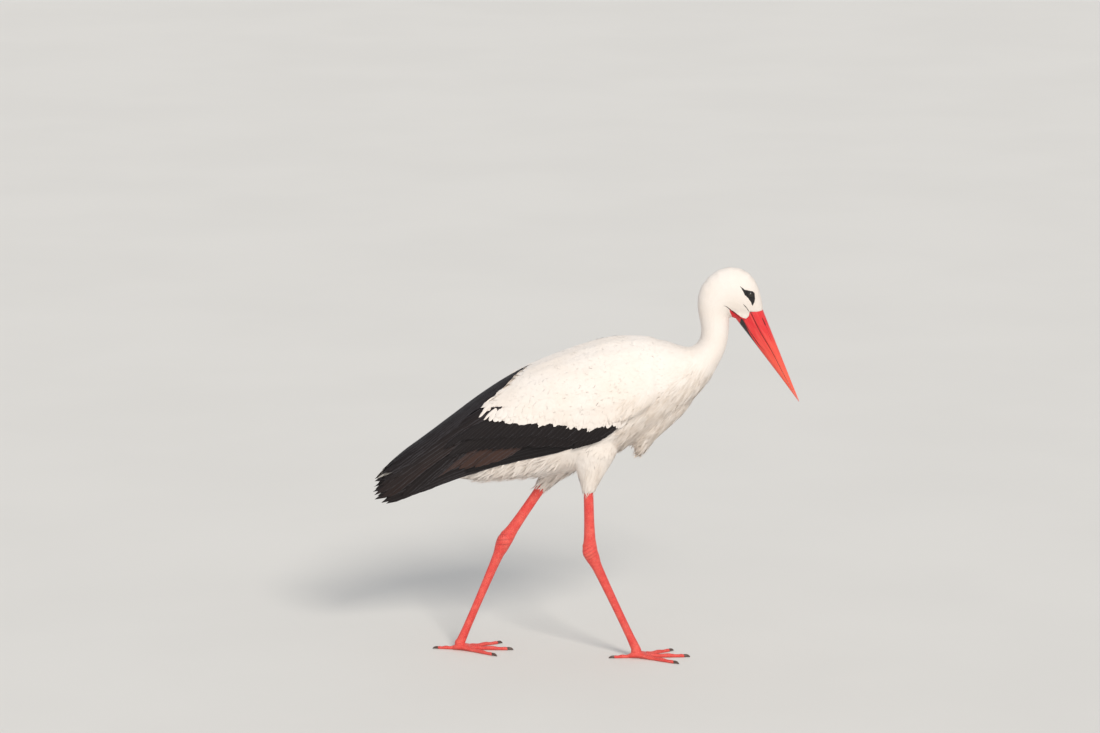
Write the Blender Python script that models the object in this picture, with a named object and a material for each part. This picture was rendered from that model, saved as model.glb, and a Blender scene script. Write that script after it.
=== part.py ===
"""A life-size white stork in mid stride, as a still display model.

The bird faces +X, +Z is up and the origin is on the floor under the middle of its box.
The trunk, neck and head are one long loft that is parted with thin cuts. The wings are shells
that lie over the trunk, and the bill, eyes, tail, legs, toes and claws are pieces of their own.
Sizes are in metres.
"""

import math

import bmesh
import bpy
from mathutils import Matrix, Vector

# ---- driving sizes ----------------------------------------------------------------------
GAP = 0.0004  # between touching pieces
BODY_SIDES = 22
NECK_SIDES = 20
HEAD_SIDES = 22
LIMB_SIDES = 10

# Body loft: top (x, z), bottom (x, z), half width. From the vent to the base of the bill.
BODY_STATIONS = [
    ((-0.200, 0.470), (-0.200, 0.332), 0.055),
    ((-0.150, 0.506), (-0.150, 0.336), 0.068),
    ((-0.100, 0.535), (-0.100, 0.341), 0.077),
    ((-0.050, 0.559), (-0.050, 0.347), 0.083),
    ((0.000, 0.577), (0.000, 0.358), 0.086),
    ((0.050, 0.591), (0.050, 0.382), 0.086),
    ((0.096, 0.598), (0.090, 0.410), 0.080),
    ((0.138, 0.5985), (0.125, 0.434), 0.069),
    ((0.168, 0.5890), (0.160, 0.459), 0.056),
    ((0.187, 0.5835), (0.196, 0.487), 0.045),
    ((0.199, 0.5865), (0.226, 0.522), 0.036),
    ((0.2075, 0.5940), (0.2465, 0.556), 0.031),
    ((0.2125, 0.6050), (0.2585, 0.583), 0.028),
    ((0.2135, 0.6190), (0.2630, 0.608), 0.0268),
    ((0.2112, 0.6350), (0.2640, 0.627), 0.0262),
    ((0.2078, 0.6510), (0.2640, 0.6400), 0.0262),
    ((0.2062, 0.6700), (0.2645, 0.6440), 0.0268),
    ((0.2100, 0.6920), (0.2650, 0.6440), 0.0275),
    ((0.2225, 0.7125), (0.2655, 0.6435), 0.0280),
    ((0.2420, 0.7280), (0.2660, 0.6430), 0.0282),
    ((0.2660, 0.7350), (0.2665, 0.6425), 0.0280),
    ((0.2885, 0.7305), (0.2675, 0.6420), 0.0272),
    ((0.3055, 0.7185), (0.2690, 0.6415), 0.0255),
    ((0.3160, 0.7010), (0.2705, 0.6410), 0.0230),
    ((0.3220, 0.6820), (0.2720, 0.6405), 0.0198),
    ((0.3255, 0.6665), (0.2735, 0.6400), 0.0170),
    ((0.3275, 0.6535), (0.2750, 0.6390), 0.0146),
]
# Where the loft is parted, as station numbers.
NECK_BASE, NECK_MIDDLE, HEAD_BACK, FACE = 8.0, 12.0, 15.6, 26.0

# Bill, as (x, z) points from its base to its tip, and half widths at the same stations.
CULMEN = [(0.3275, 0.6530), (0.3400, 0.6215), (0.3540, 0.5865), (0.3745, 0.5350), (0.3955, 0.4825)]
MOUTH_LINE = [(0.3045, 0.6467), (0.3215, 0.6161), (0.3427, 0.5800), (0.3679, 0.5312), (0.3949, 0.4823)]
GONYS = [(0.2750, 0.6385), (0.2990, 0.6095), (0.3278, 0.5714), (0.3612, 0.5273), (0.3943, 0.4820)]
BILL_HALF_WIDTHS = [0.0140, 0.0112, 0.0084, 0.0052, 0.0010]
BILL_CUTS, BILL_SIDES = 10, 9

# Eyes
EYE_X, EYE_Z = 0.3015, 0.6870
EYE_RADIUS = 0.0085
EYE_CENTRE_Y = 0.0150
EYE_SIDES, EYE_RINGS = 14, 8

# Wing shell over the trunk: x, top z, centre z, bottom z of its oval, half width, thickness.
WING_STATIONS = [
    (0.125, 0.6040, 0.510, 0.405, 0.0770, 0.0100),
    (0.090, 0.6065, 0.506, 0.385, 0.0880, 0.0140),
    (0.045, 0.6040, 0.498, 0.362, 0.0960, 0.0170),
    (0.000, 0.5920, 0.488, 0.343, 0.0985, 0.0190),
    (-0.050, 0.5745, 0.474, 0.330, 0.0960, 0.0190),
    (-0.100, 0.5535, 0.458, 0.322, 0.0900, 0.0190),
    (-0.150, 0.5265, 0.437, 0.316, 0.0815, 0.0190),
    (-0.200, 0.4930, 0.412, 0.310, 0.0705, 0.0160),
    (-0.250, 0.4550, 0.384, 0.300, 0.0590, 0.0110),
    (-0.300, 0.4170, 0.356, 0.290, 0.0480, 0.0080),
    (-0.345, 0.3825, 0.328, 0.276, 0.0370, 0.0060),
    (-0.396, 0.3350, 0.305, 0.262, 0.0260, 0.0035),
]
WING_SPINE_GAP = GAP / 2  # half the gap between the two wings along the back
# Lines on the side of the folded wing, as (x, z): the lower edge, and the feather group borders.
LOWER_EDGE = [(0.050, 0.450), (0.024, 0.424), (-0.011, 0.410), (-0.046, 0.4035), (-0.087, 0.4035),
              (-0.132, 0.3865), (-0.170, 0.3665), (-0.220, 0.3530), (-0.252, 0.3520), (-0.2975, 0.3250),
              (-0.325, 0.3050), (-0.348, 0.2940), (-0.378, 0.2880), (-0.396, 0.2960)]
COVERT_EDGE = [(0.125, 0.5000), (0.100, 0.4760), (0.075, 0.4640), (0.050, 0.4560), (0.000, 0.4480),
               (-0.050, 0.4555), (-0.100, 0.4575), (-0.155, 0.4590), (-0.195, 0.4765)]
TERTIAL_EDGE = [(-0.1126, 0.5560), (-0.1324, 0.5335), (-0.1720, 0.4990), (-0.196, 0.4790), (-0.250, 0.4360),
                (-0.320, 0.3780), (-0.375, 0.3320)]
FLIGHT_EDGE = [(-0.030, 0.4095), (-0.060, 0.4105), (-0.110, 0.4085), (-0.170, 0.4040), (-0.240, 0.3920),
               (-0.300, 0.3550), (-0.345, 0.3230), (-0.396, 0.3050)]
# Ends of the feather groups. All groups share the wing's sections, so their borders stay parallel.
WING_STEP = 0.0198
WING_SECTIONS = [WING_STATIONS[0][0] - WING_STEP * k for k in range(25)]
GREATER_FRONT, FLIGHT_FRONT, TERTIAL_FRONT, COVERT_TIP = (WING_SECTIONS[k] for k in (4, 8, 12, 16))
TERTIAL_TIP, FLIGHT_TIP, GREATER_TIP = -0.3720, -0.3840, -0.3955
WING_SECTIONS += [TERTIAL_TIP, FLIGHT_TIP, GREATER_TIP]

# Legs: the near (right) one strides forward, the far (left) one pushes off behind.
LEGS = {
    "right": {
        "side": -1,
        "hip": Vector((0.004, -0.042, 0.432)),
        "cuff": Vector((0.005, -0.044, 0.320)),
        "ankle": Vector((0.008, -0.038, 0.2046)),
        "foot": Vector((0.0955, -0.030, 0.014)),
        "toe_turn": 2.0,
    },
    "left": {
        "side": 1,
        "hip": Vector((-0.010, 0.042, 0.424)),
        "cuff": Vector((-0.078, 0.042, 0.3166)),
        "ankle": Vector((-0.152, 0.037, 0.2076)),
        "foot": Vector((-0.2345, 0.030, 0.014)),
        "toe_turn": -3.0,
    },
}
# Thigh, as share of the way down from the hip, bulge to the front, half depth and half width
THIGH = [
    (0.00, 0.012, 0.0540, 0.0300),
    (0.33, 0.009, 0.0430, 0.0310),
    (0.60, 0.005, 0.0300, 0.0240),
    (0.84, 0.002, 0.0165, 0.0160),
    (1.00, 0.000, 0.0108, 0.0098),
]
# Shank and tarsus, as share of their length, half depth and half width
SHANK = [
    (0.00, 0.0090, 0.0076),
    (0.50, 0.0095, 0.0078),
    (0.78, 0.0109, 0.0088),
    (0.92, 0.0133, 0.0103),
    (1.00, 0.0144, 0.0111),
]
TARSUS = [
    (0.00, 0.0144, 0.0111),
    (0.06, 0.0129, 0.0105),
    (0.13, 0.0100, 0.0084),
    (0.25, 0.0087, 0.0070),
    (0.55, 0.0075, 0.0062),
    (0.85, 0.0075, 0.0064),
    (0.95, 0.0083, 0.0073),
    (1.00, 0.0087, 0.0081),
]
# name: (angle from straight ahead towards the outer side, reach from the tarsus, radius at its root)
TOES = {
    "inner": (-34.0, 0.077, 0.0048),
    "middle": (0.0, 0.090, 0.0050),
    "outer": (34.0, 0.082, 0.0048),
    "hind": (176.0, 0.043, 0.0043),
}
TOE_ROOT = 0.008  # where a toe begins inside the foot
TOE_CUTS = 8
PAD = [  # distance ahead of the tarsus, half width and height of the foot's pad
    (-0.0130, 0.0060, 0.0080),
    (-0.0070, 0.0090, 0.0120),
    (0.0010, 0.0110, 0.0135),
    (0.0090, 0.0145, 0.0120),
    (0.0180, 0.0192, 0.0095),
]
PAD_SIDES = 8
CLAW_LENGTH = 0.0095
CLAW_TAPER = [(0.0, 1.0), (0.4, 0.92), (0.75, 0.66), (1.0, 0.30)]  # shares of its length and radius


# ---- curves and rings -------------------------------------------------------------------
def blend_through(rows, at):
    """A smooth curve through rows of numbers, read at the row number `at`."""
    last = len(rows) - 1
    at = min(max(at, 0.0), float(last))
    i = min(int(at), last - 1)
    t = at - i
    p1, p2 = rows[i], rows[i + 1]
    p0 = rows[i - 1] if i > 0 else [2 * a - b for a, b in zip(p1, p2)]
    p3 = rows[i + 2] if i + 2 <= last else [2 * b - a for a, b in zip(p1, p2)]
    return [
        b + 0.5 * t * (c - a + t * (2 * a - 5 * b + 4 * c - d + t * (3 * (b - c) + d - a)))
        for a, b, c, d in zip(p0, p1, p2, p3)
    ]


def height_on(line, x):
    """The z of a falling-x line of (x, z) points at x."""
    for number, ((x0, _), (x1, _)) in enumerate(zip(line, line[1:])):
        if x >= x1 or number == len(line) - 2:
            share = min(max((x0 - x) / (x0 - x1), 0.0), 1.0)
            return blend_through([(z,) for _, z in line], number + share)[0]


def oval(top, bottom, half_width, sides, fullness=1.0):
    """A ring of points round the line from bottom to top, symmetric about y = the mean of the two."""
    centre, rise = (top + bottom) / 2, (top - bottom) / 2
    ring = []
    for k in range(sides):
        angle = 2 * math.pi * k / sides
        c, s = math.cos(angle), math.sin(angle)
        across = math.copysign(abs(c) ** fullness, c) * half_width
        ring.append(centre + rise * s + Vector((0, across, 0)))
    return ring


def tube_ring(centre, along, half_x, half_y, sides, reference=Vector((0, 1, 0))):
    """An oval ring round `centre`, square to `along`, half_y wide towards `reference`."""
    side = (reference - along * reference.dot(along)).normalized()
    front = side.cross(along).normalized()
    angles = [2 * math.pi * k / sides for k in range(sides)]
    return [centre + front * (half_x * math.cos(a)) + side * (half_y * math.sin(a)) for a in angles]


def loft(name, rings, material, smooth_over=50):
    """A closed solid skinned over rings with equal numbers of points."""
    mesh = bpy.data.meshes.new(name)
    work = bmesh.new()
    rows = [[work.verts.new(p) for p in ring] for ring in rings]
    for a, b in zip(rows, rows[1:]):
        for k in range(len(a)):
            nxt = (k + 1) % len(a)
            work.faces.new((a[k], a[nxt], b[nxt], b[k]))
    work.faces.new(reversed(rows[0]))
    work.faces.new(rows[-1])
    bmesh.ops.remove_doubles(work, verts=work.verts, dist=1e-6)
    bmesh.ops.recalc_face_normals(work, faces=work.faces)
    if work.calc_volume(signed=True) < 0:
        bmesh.ops.reverse_faces(work, faces=work.faces)
    bmesh.ops.triangulate(work, faces=work.faces)
    work.to_mesh(mesh)
    work.free()
    mesh.shade_smooth()
    mesh.set_sharp_from_angle(angle=math.radians(smooth_over))
    mesh.materials.append(material)
    solid = bpy.data.objects.new(name, mesh)
    bpy.context.scene.collection.objects.link(solid)
    return solid


def finish(name, colour, roughness):
    """A Principled material of one colour."""
    made = bpy.data.materials.new(name)
    made.use_nodes = True
    shader = made.node_tree.nodes["Principled BSDF"]
    shader.inputs["Base Color"].default_value = (*colour, 1.0)
    shader.inputs["Roughness"].default_value = roughness
    shader.inputs["Metallic"].default_value = 0.0
    return made


# ---- head, neck and trunk ---------------------------------------------------------------
def body_ring(at, sides):
    """The body's ring at a station number."""
    rows = [(*top, *bottom, half) for top, bottom, half in BODY_STATIONS]
    tx, tz, bx, bz, half = blend_through(rows, at)
    return oval(Vector((tx, 0, tz)), Vector((bx, 0, bz)), half, sides, fullness=0.94)


def body_rings(start, end, cuts, sides):
    """Rings of the body loft at even steps between two station numbers."""
    return [body_ring(start + (end - start) * k / cuts, sides) for k in range(cuts + 1)]


def body_length(name, rings, material):
    """One length of the body loft. A thin cut is left at its front end."""
    back, front = rings[-2], rings[-1]
    rings = rings[:-1] + [[p + (q - p) * (GAP / max((q - p).length, 1e-6)) for p, q in zip(front, back)]]
    return loft(name, rings, material)


def grown(rings, by):
    """The rings of a loft, each moved outwards from its own centre."""
    bigger = []
    for ring in rings:
        centre = sum(ring, Vector()) / len(ring)
        bigger.append([p + (p - centre).normalized() * by for p in ring])
    return bigger


def as_cutter(solid):
    """Marks a solid as a tool that is not part of the bird."""
    solid.hide_render = True
    solid.display_type = "WIRE"
    return solid


def cut_away(solid, cutter):
    """Takes the cutter's volume out of the solid."""
    cut = solid.modifiers.new(cutter.name, "BOOLEAN")
    cut.operation = "DIFFERENCE"
    cut.solver = "EXACT"
    cut.object = cutter


def body_parts(white):
    """Trunk, neck and head; returns the head and a cutter a little larger than trunk and lower neck."""
    trunk = body_rings(0.0, NECK_BASE, 12, BODY_SIDES)
    neck = body_rings(NECK_BASE, NECK_MIDDLE, 6, BODY_SIDES)
    body_length("trunk", trunk, white)
    body_length("neck_lower", neck, white)
    body_length("neck_upper", body_rings(NECK_MIDDLE, HEAD_BACK, 6, NECK_SIDES), white)
    head = body_length("head", body_rings(HEAD_BACK, FACE, 12, HEAD_SIDES), white)
    clearance = as_cutter(loft("clearance_body", grown(trunk + neck[1:], GAP), white))
    return head, clearance


def eyeball(name, centre, radius, material):
    """A round eyeball, as a mesh object."""
    mesh = bpy.data.meshes.new(name)
    work = bmesh.new()
    bmesh.ops.create_uvsphere(work, u_segments=EYE_SIDES, v_segments=EYE_RINGS, radius=radius)
    bmesh.ops.rotate(work, verts=work.verts, matrix=Matrix.Rotation(math.pi / 2, 3, "X"))
    bmesh.ops.translate(work, verts=work.verts, vec=centre)
    bmesh.ops.triangulate(work, faces=work.faces)
    work.to_mesh(mesh)
    work.free()
    mesh.shade_smooth()
    mesh.materials.append(material)
    ball = bpy.data.objects.new(name, mesh)
    bpy.context.scene.collection.objects.link(ball)
    return ball


def set_eyes(head, dark):
    """Both eyeballs, each in a round socket cut into the head."""
    for name, side in (("eye_right", -1), ("eye_left", 1)):
        centre = Vector((EYE_X, side * EYE_CENTRE_Y, EYE_Z))
        eyeball(name, centre, EYE_RADIUS, dark)
        cut_away(head, as_cutter(eyeball("socket_" + name, centre, EYE_RADIUS + 1.5 * GAP, dark)))


# ---- bill -------------------------------------------------------------------------------
def mandible_ring(ridge, mouth, half_width, sides):
    """Half an oval: flat along the mouth line, round towards the ridge."""
    rise = ridge - mouth
    ring = []
    for k in range(sides):
        angle = math.pi * k / (sides - 1)
        across = Vector((0, half_width * math.cos(angle), 0))
        ring.append(mouth + rise * math.sin(angle) ** 0.9 + across)
    return ring


def mandible(name, ridge_line, shift, material):
    """The upper or the lower half of the bill; `shift` moves it off the mouth line."""
    rings = []
    for k in range(BILL_CUTS + 1):
        at = k / BILL_CUTS * (len(CULMEN) - 1)
        ridge = blend_through(ridge_line, at)
        mouth = blend_through(MOUTH_LINE, at)
        half = blend_through([(w,) for w in BILL_HALF_WIDTHS], at)[0]
        ridge, mouth = Vector((ridge[0], 0, ridge[1])), Vector((mouth[0], 0, mouth[1]))
        off = (ridge - mouth).normalized() * shift
        rings.append(mandible_ring(ridge, mouth + off, half, BILL_SIDES))
    (root_x, root_z), (next_x, next_z) = CULMEN[:2]
    off_face = Vector((next_x - root_x, 0, next_z - root_z)).normalized() * 2 * GAP
    rings[0] = [p + off_face for p in rings[0]]
    return loft(name, rings, material, smooth_over=40)


# ---- wings ------------------------------------------------------------------------------
def wing_oval(x):
    """Top, centre, bottom, half width and thickness of the wing shell at x."""
    xs = [row[0] for row in WING_STATIONS]
    for number in range(len(xs) - 1):
        if x >= xs[number + 1] or number == len(xs) - 2:
            at = number + (xs[number] - x) / (xs[number] - xs[number + 1])
            return blend_through([row[1:] for row in WING_STATIONS], at)


def wing_angle(x, z):
    """The angle round the shell's oval at which its surface is at height z."""
    top, centre, bottom, _, _ = wing_oval(x)
    reach = (top - centre) if z > centre else (centre - bottom)
    return math.asin(min(max((z - centre) / reach, -1.0), 1.0))


def wing_point(x, angle, depth, side):
    """A point on the shell, `depth` under its outer surface."""
    top, centre, bottom, half, _ = wing_oval(x)
    reach = (top - centre) if angle > 0 else (centre - bottom)
    y = (half - depth) * math.cos(angle)
    return Vector((x, side * y, centre + (reach - depth) * math.sin(angle)))


def spine_angle(x):
    """The angle where the shell stops beside the middle of the back."""
    half = wing_oval(x)[3]
    return math.acos(min(WING_SPINE_GAP / half, 0.9))


def wing_part(name, side, front, tip, upper, lower, rows, material):
    """A shell piece between two lines, given as functions of x that return angles."""
    rings = []
    for x in [front] + [x for x in WING_SECTIONS if tip + 0.001 < x < front - 0.001] + [tip]:
        thickness = wing_oval(x)[4]
        high = upper(x)
        low = min(lower(x), high - 0.02)
        angles = [high + (low - high) * r / rows for r in range(rows + 1)]
        outer = [wing_point(x, a, 0.0, side) for a in angles]
        inner = [wing_point(x, a, thickness, side) for a in reversed(angles)]
        rings.append(outer + inner)
    return loft(name, rings, material)


def under(line, x):
    """The angle just below a side line at x."""
    return wing_angle(x, height_on(line, x) - 2 * GAP)


def tertial_angle(x):
    """The lower edge of the tertials, which starts as a thin point beside the spine."""
    return min(wing_angle(x, height_on(TERTIAL_EDGE, x)), spine_angle(x) - 0.03)


def covert_top(x):
    """Along the spine in front, along the tertials behind."""
    return spine_angle(x) if x > TERTIAL_FRONT + GAP else tertial_angle(x) - 0.01


def greater_top(x):
    """Along the white coverts in front, along the tertials behind them."""
    return under(COVERT_EDGE, x) if x > COVERT_TIP - GAP else tertial_angle(x) - 0.01


def covert_bottom(x):
    """The scalloped border of the white coverts."""
    return wing_angle(x, height_on(COVERT_EDGE, x))


def flight_top(x):
    """Just below the black coverts."""
    return under(FLIGHT_EDGE, x)


def flight_bottom(x):
    """The lower edge of the folded wing."""
    return wing_angle(x, height_on(LOWER_EDGE, x))


def greater_bottom(x):
    """The wing's lower edge in front, along the flight feathers behind."""
    return wing_angle(x, height_on(LOWER_EDGE if x > FLIGHT_FRONT else FLIGHT_EDGE, x))


def wing(side_name, side, white, black, tools):
    """The four feather groups of one folded wing, hollowed out for the body and the thigh."""
    groups = [
        ("coverts", WING_SECTIONS[0], COVERT_TIP, covert_top, covert_bottom, 6, white),
        ("tertials", TERTIAL_FRONT, TERTIAL_TIP, spine_angle, tertial_angle, 4, black),
        ("greater_coverts", GREATER_FRONT, GREATER_TIP, greater_top, greater_bottom, 3, black),
        ("flight_feathers", FLIGHT_FRONT, FLIGHT_TIP, flight_top, flight_bottom, 2, black),
    ]
    for group, front, tip, upper, lower, rows, material in groups:
        piece = wing_part(group + "_" + side_name, side, front, tip, upper, lower, rows, material)
        for tool in tools:
            cut_away(piece, tool)


# ---- tail -------------------------------------------------------------------------------
TAIL = [  # x, top z, bottom z, half width
    (-0.2006, 0.446, 0.424, 0.040),
    (-0.250, 0.412, 0.401, 0.038),
    (-0.300, 0.379, 0.371, 0.033),
    (-0.345, 0.3475, 0.342, 0.024),
    (-0.368, 0.331, 0.327, 0.014),
]
VENT = [
    (-0.2006, 0.4230, 0.3325, 0.0420),
    (-0.235, 0.4065, 0.3365, 0.0330),
    (-0.270, 0.3870, 0.3450, 0.0220),
    (-0.298, 0.3690, 0.3560, 0.0070),
]


def slab(name, rows, sides, cuts, fullness, material):
    """A loft over x from rows of x, top z, bottom z and half width."""
    rings = []
    for k in range(cuts + 1):
        x, top, bottom, half = blend_through(rows, k / cuts * (len(rows) - 1))
        rings.append(oval(Vector((x, 0, top)), Vector((x, 0, bottom)), half, sides, fullness))
    return loft(name, rings, material)


# ---- breast plumes ----------------------------------------------------------------------
# The shaggy bib: front (x, z), back (x, z), half width, how far its sides sweep back round the breast
PLUMES = [
    ((0.2035, 0.4965), (0.1990, 0.4985), 0.0100, 0.002),
    ((0.1860, 0.4670), (0.1750, 0.4760), 0.0300, 0.015),
    ((0.1640, 0.4440), (0.1430, 0.4560), 0.0420, 0.028),
    ((0.1400, 0.4210), (0.1150, 0.4370), 0.0440, 0.030),
    ((0.1215, 0.4000), (0.0940, 0.4160), 0.0320, 0.021),
    ((0.1105, 0.3870), (0.0900, 0.3970), 0.0180, 0.008),
    ((0.1000, 0.3785), (0.0955, 0.3810), 0.0040, 0.000),
]
PLUME_SIDES, PLUME_CUTS = 14, 10


def breast_plumes(white, clearance):
    """The hanging plumes, cut back from the breast that they grow on."""
    rows = [(*front, *back, half, sweep) for front, back, half, sweep in PLUMES]
    rings = []
    for k in range(PLUME_CUTS + 1):
        fx, fz, bx, bz, half, sweep = blend_through(rows, k / PLUME_CUTS * (len(PLUMES) - 1))
        front, back = Vector((fx, 0, fz)), Vector((bx, 0, bz))
        inwards = (back - front).normalized() * sweep
        rings.append([p + inwards * (p.y / half) ** 2 for p in oval(front, back, half, PLUME_SIDES)])
    cut_away(loft("breast_plumes", rings, white), clearance)


# ---- legs -------------------------------------------------------------------------------
def limb_rings(stations, sides, first=None, last=None):
    """Rings square to a path: each station is (centre, half depth, half width)."""
    rings = []
    for number, (centre, depth, width) in enumerate(stations):
        before = stations[max(number - 1, 0)][0]
        after = stations[min(number + 1, len(stations) - 1)][0]
        along = (after - before).normalized()
        if first and number == 0:
            along = first
        if last and number == len(stations) - 1:
            along = last
        rings.append(tube_ring(centre, along, depth, width, sides))
    return rings


def between(a, b, share):
    """The point at a share of the way from a to b."""
    return a + (b - a) * share


def leg(side_name, plan, white, red, horn, clearance):
    """One leg from the thigh feathers to the claws; returns the thigh's cutter."""
    hip, cuff, ankle, foot = plan["hip"], plan["cuff"], plan["ankle"], plan["foot"]
    down, to_foot = (ankle - cuff).normalized(), (foot - ankle).normalized()
    bend = (down + to_foot).normalized()
    thigh = limb_rings([(between(hip, cuff, share) + Vector((bulge, 0, 0)), depth, width)
                        for share, bulge, depth, width in THIGH], 16, last=down)
    cut_away(loft("thigh_" + side_name, thigh, white), clearance)
    start = cuff + down * 1.5 * GAP
    shank = [(between(start, ankle, share), depth, width) for share, depth, width in SHANK]
    shank[-1] = (ankle - bend * GAP / 2, *shank[-1][1:])
    loft("shank_" + side_name, limb_rings(shank, LIMB_SIDES, first=down, last=bend), red)
    tarsus = [(between(ankle, foot, share), depth, width) for share, depth, width in TARSUS]
    tarsus[0] = (ankle + bend * GAP / 2, *tarsus[0][1:])
    lower = loft("tarsus_" + side_name, limb_rings(tarsus, LIMB_SIDES, first=bend), red)
    foot_parts(side_name, plan, lower, red, horn)
    return as_cutter(loft("clearance_thigh_" + side_name, grown(thigh, GAP), white))


def pad_rings(base, turn, grow):
    """Half-round rings of the pad under the tarsus, flat on the floor, each larger by `grow`."""
    ahead = Vector((math.cos(turn), math.sin(turn), 0))
    left = Vector((-ahead.y, ahead.x, 0))
    rings = []
    for number, (reach, half, height) in enumerate(PAD):
        longer = grow * ((number == len(PAD) - 1) - (number == 0))
        centre = base + ahead * (reach + longer) - Vector((0, 0, grow))
        ring = []
        for k in range(PAD_SIDES + 1):
            angle = math.pi * k / PAD_SIDES
            rise = Vector((0, 0, (height + 2 * grow) * math.sin(angle)))
            ring.append(centre + left * ((half + grow) * math.cos(angle)) + rise)
        rings.append(ring)
    return rings


def foot_parts(side_name, plan, tarsus, red, horn):
    """The pad under the tarsus, four toes and their claws, all flat on the floor."""
    turn = math.radians(plan["toe_turn"])
    base = Vector((plan["foot"].x, plan["foot"].y, 0))
    loft("foot_" + side_name, pad_rings(base, turn, 0.0), red)
    clearance = as_cutter(loft("clearance_foot_" + side_name, pad_rings(base, turn, GAP), red))
    cut_away(tarsus, clearance)
    for toe_name, (angle, length, radius) in TOES.items():
        yaw = turn + math.radians(angle) * plan["side"]
        along = Vector((math.cos(yaw), math.sin(yaw), 0))
        cut_away(toe("toe_%s_%s" % (toe_name, side_name), base, along, length, radius, red), clearance)
        claw("claw_%s_%s" % (toe_name, side_name), base + along * (length + GAP), along, radius * 0.6, horn)


def sole_ring(centre, along, half_width, half_height):
    """An eight-sided ring that stands on the floor on a flat side."""
    side = Vector((-along.y, along.x, 0))
    angles = [math.pi * (2 * k + 1) / 8 for k in range(8)]
    up = Vector((0, 0, half_height))
    middle = centre + up * math.cos(math.pi / 8)
    return [middle + side * (half_width * math.cos(a)) + up * math.sin(a) for a in angles]


def toe(name, base, along, length, radius, material):
    """A toe with swollen pads between its joints, from inside the foot to its nail."""
    rings = []
    for k in range(TOE_CUTS + 1):
        share = k / TOE_CUTS
        size = radius * (1.0 - 0.34 * share) * (1.0 + 0.08 * math.cos(2 * math.pi * 3 * share))
        reach = TOE_ROOT + (length - TOE_ROOT) * share
        rings.append(sole_ring(base + along * reach, along, size, size * 0.92))
    return loft(name, rings, material)


def claw(name, start, along, radius, material):
    """A short, blunt nail."""
    rings = []
    for share, size in CLAW_TAPER:
        rings.append(sole_ring(start + along * (CLAW_LENGTH * share), along, radius * size, radius * size))
    return loft(name, rings, material)


# ---- assembly ---------------------------------------------------------------------------
def clear_scene():
    """Removes whatever the file opened with."""
    for old in list(bpy.data.objects):
        bpy.data.objects.remove(old)


def main():
    """Builds the whole bird."""
    clear_scene()
    white = finish("plumage_white", (0.86, 0.83, 0.78), 0.8)
    black = finish("plumage_black", (0.025, 0.023, 0.025), 0.5)
    bill_red = finish("bill_horn", (0.72, 0.07, 0.06), 0.35)
    leg_red = finish("leg_skin", (0.70, 0.10, 0.08), 0.5)
    horn = finish("claw_horn", (0.10, 0.06, 0.05), 0.45)
    dark = finish("eye", (0.02, 0.015, 0.012), 0.1)
    head, clearance = body_parts(white)
    set_eyes(head, dark)
    mandible("bill_upper", CULMEN, GAP / 2, bill_red)
    mandible("bill_lower", GONYS, GAP / 2, bill_red)
    slab("tail", TAIL, 12, 7, 0.8, white)
    slab("vent", VENT, 12, 6, 0.94, white)
    breast_plumes(white, clearance)
    for side_name, plan in LEGS.items():
        thigh_clearance = leg(side_name, plan, white, leg_red, horn, clearance)
        wing(side_name, plan["side"], white, black, [clearance, thigh_clearance])


main()
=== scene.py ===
"""A life-size white stork, walking with its head lowered: skin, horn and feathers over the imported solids."""
import math
from collections import namedtuple

import bmesh
import bpy
import numpy as np
from bpy.props import FloatProperty, FloatVectorProperty, IntProperty, PointerProperty
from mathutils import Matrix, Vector
from mathutils.bvhtree import BVHTree
from mathutils.kdtree import KDTree


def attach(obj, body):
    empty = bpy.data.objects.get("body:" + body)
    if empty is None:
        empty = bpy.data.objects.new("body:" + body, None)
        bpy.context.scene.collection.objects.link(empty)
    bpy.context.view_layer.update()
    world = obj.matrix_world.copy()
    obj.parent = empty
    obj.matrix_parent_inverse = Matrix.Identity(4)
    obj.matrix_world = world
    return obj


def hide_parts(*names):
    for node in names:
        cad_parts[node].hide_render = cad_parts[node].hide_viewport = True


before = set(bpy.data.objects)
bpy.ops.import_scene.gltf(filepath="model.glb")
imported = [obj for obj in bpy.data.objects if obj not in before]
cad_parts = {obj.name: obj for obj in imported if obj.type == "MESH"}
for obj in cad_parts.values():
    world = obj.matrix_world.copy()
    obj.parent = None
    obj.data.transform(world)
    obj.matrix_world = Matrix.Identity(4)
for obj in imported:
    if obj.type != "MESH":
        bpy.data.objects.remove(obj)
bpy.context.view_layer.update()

bl_info = {
    "name": "Walking white stork",
    "version": (1, 0, 0),
    "blender": (4, 5, 0),
    "location": "3D View > Sidebar > Stork",
    "description": "Builds the skin, horn and feathers of a life-size white stork",
    "category": "Add Mesh",
}


# ---- what a user may change ---------------------------------------------------------------
def colour(name, description, value):
    """A colour in linear light."""
    return FloatVectorProperty(name=name, description=description, default=value, size=3, min=0.0, max=1.0,
                               subtype="COLOR")


def length(name, description, value):
    """A length in metres."""
    return FloatProperty(name=name, description=description, default=value, min=0.0, unit="LENGTH",
                         precision=4)


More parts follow.
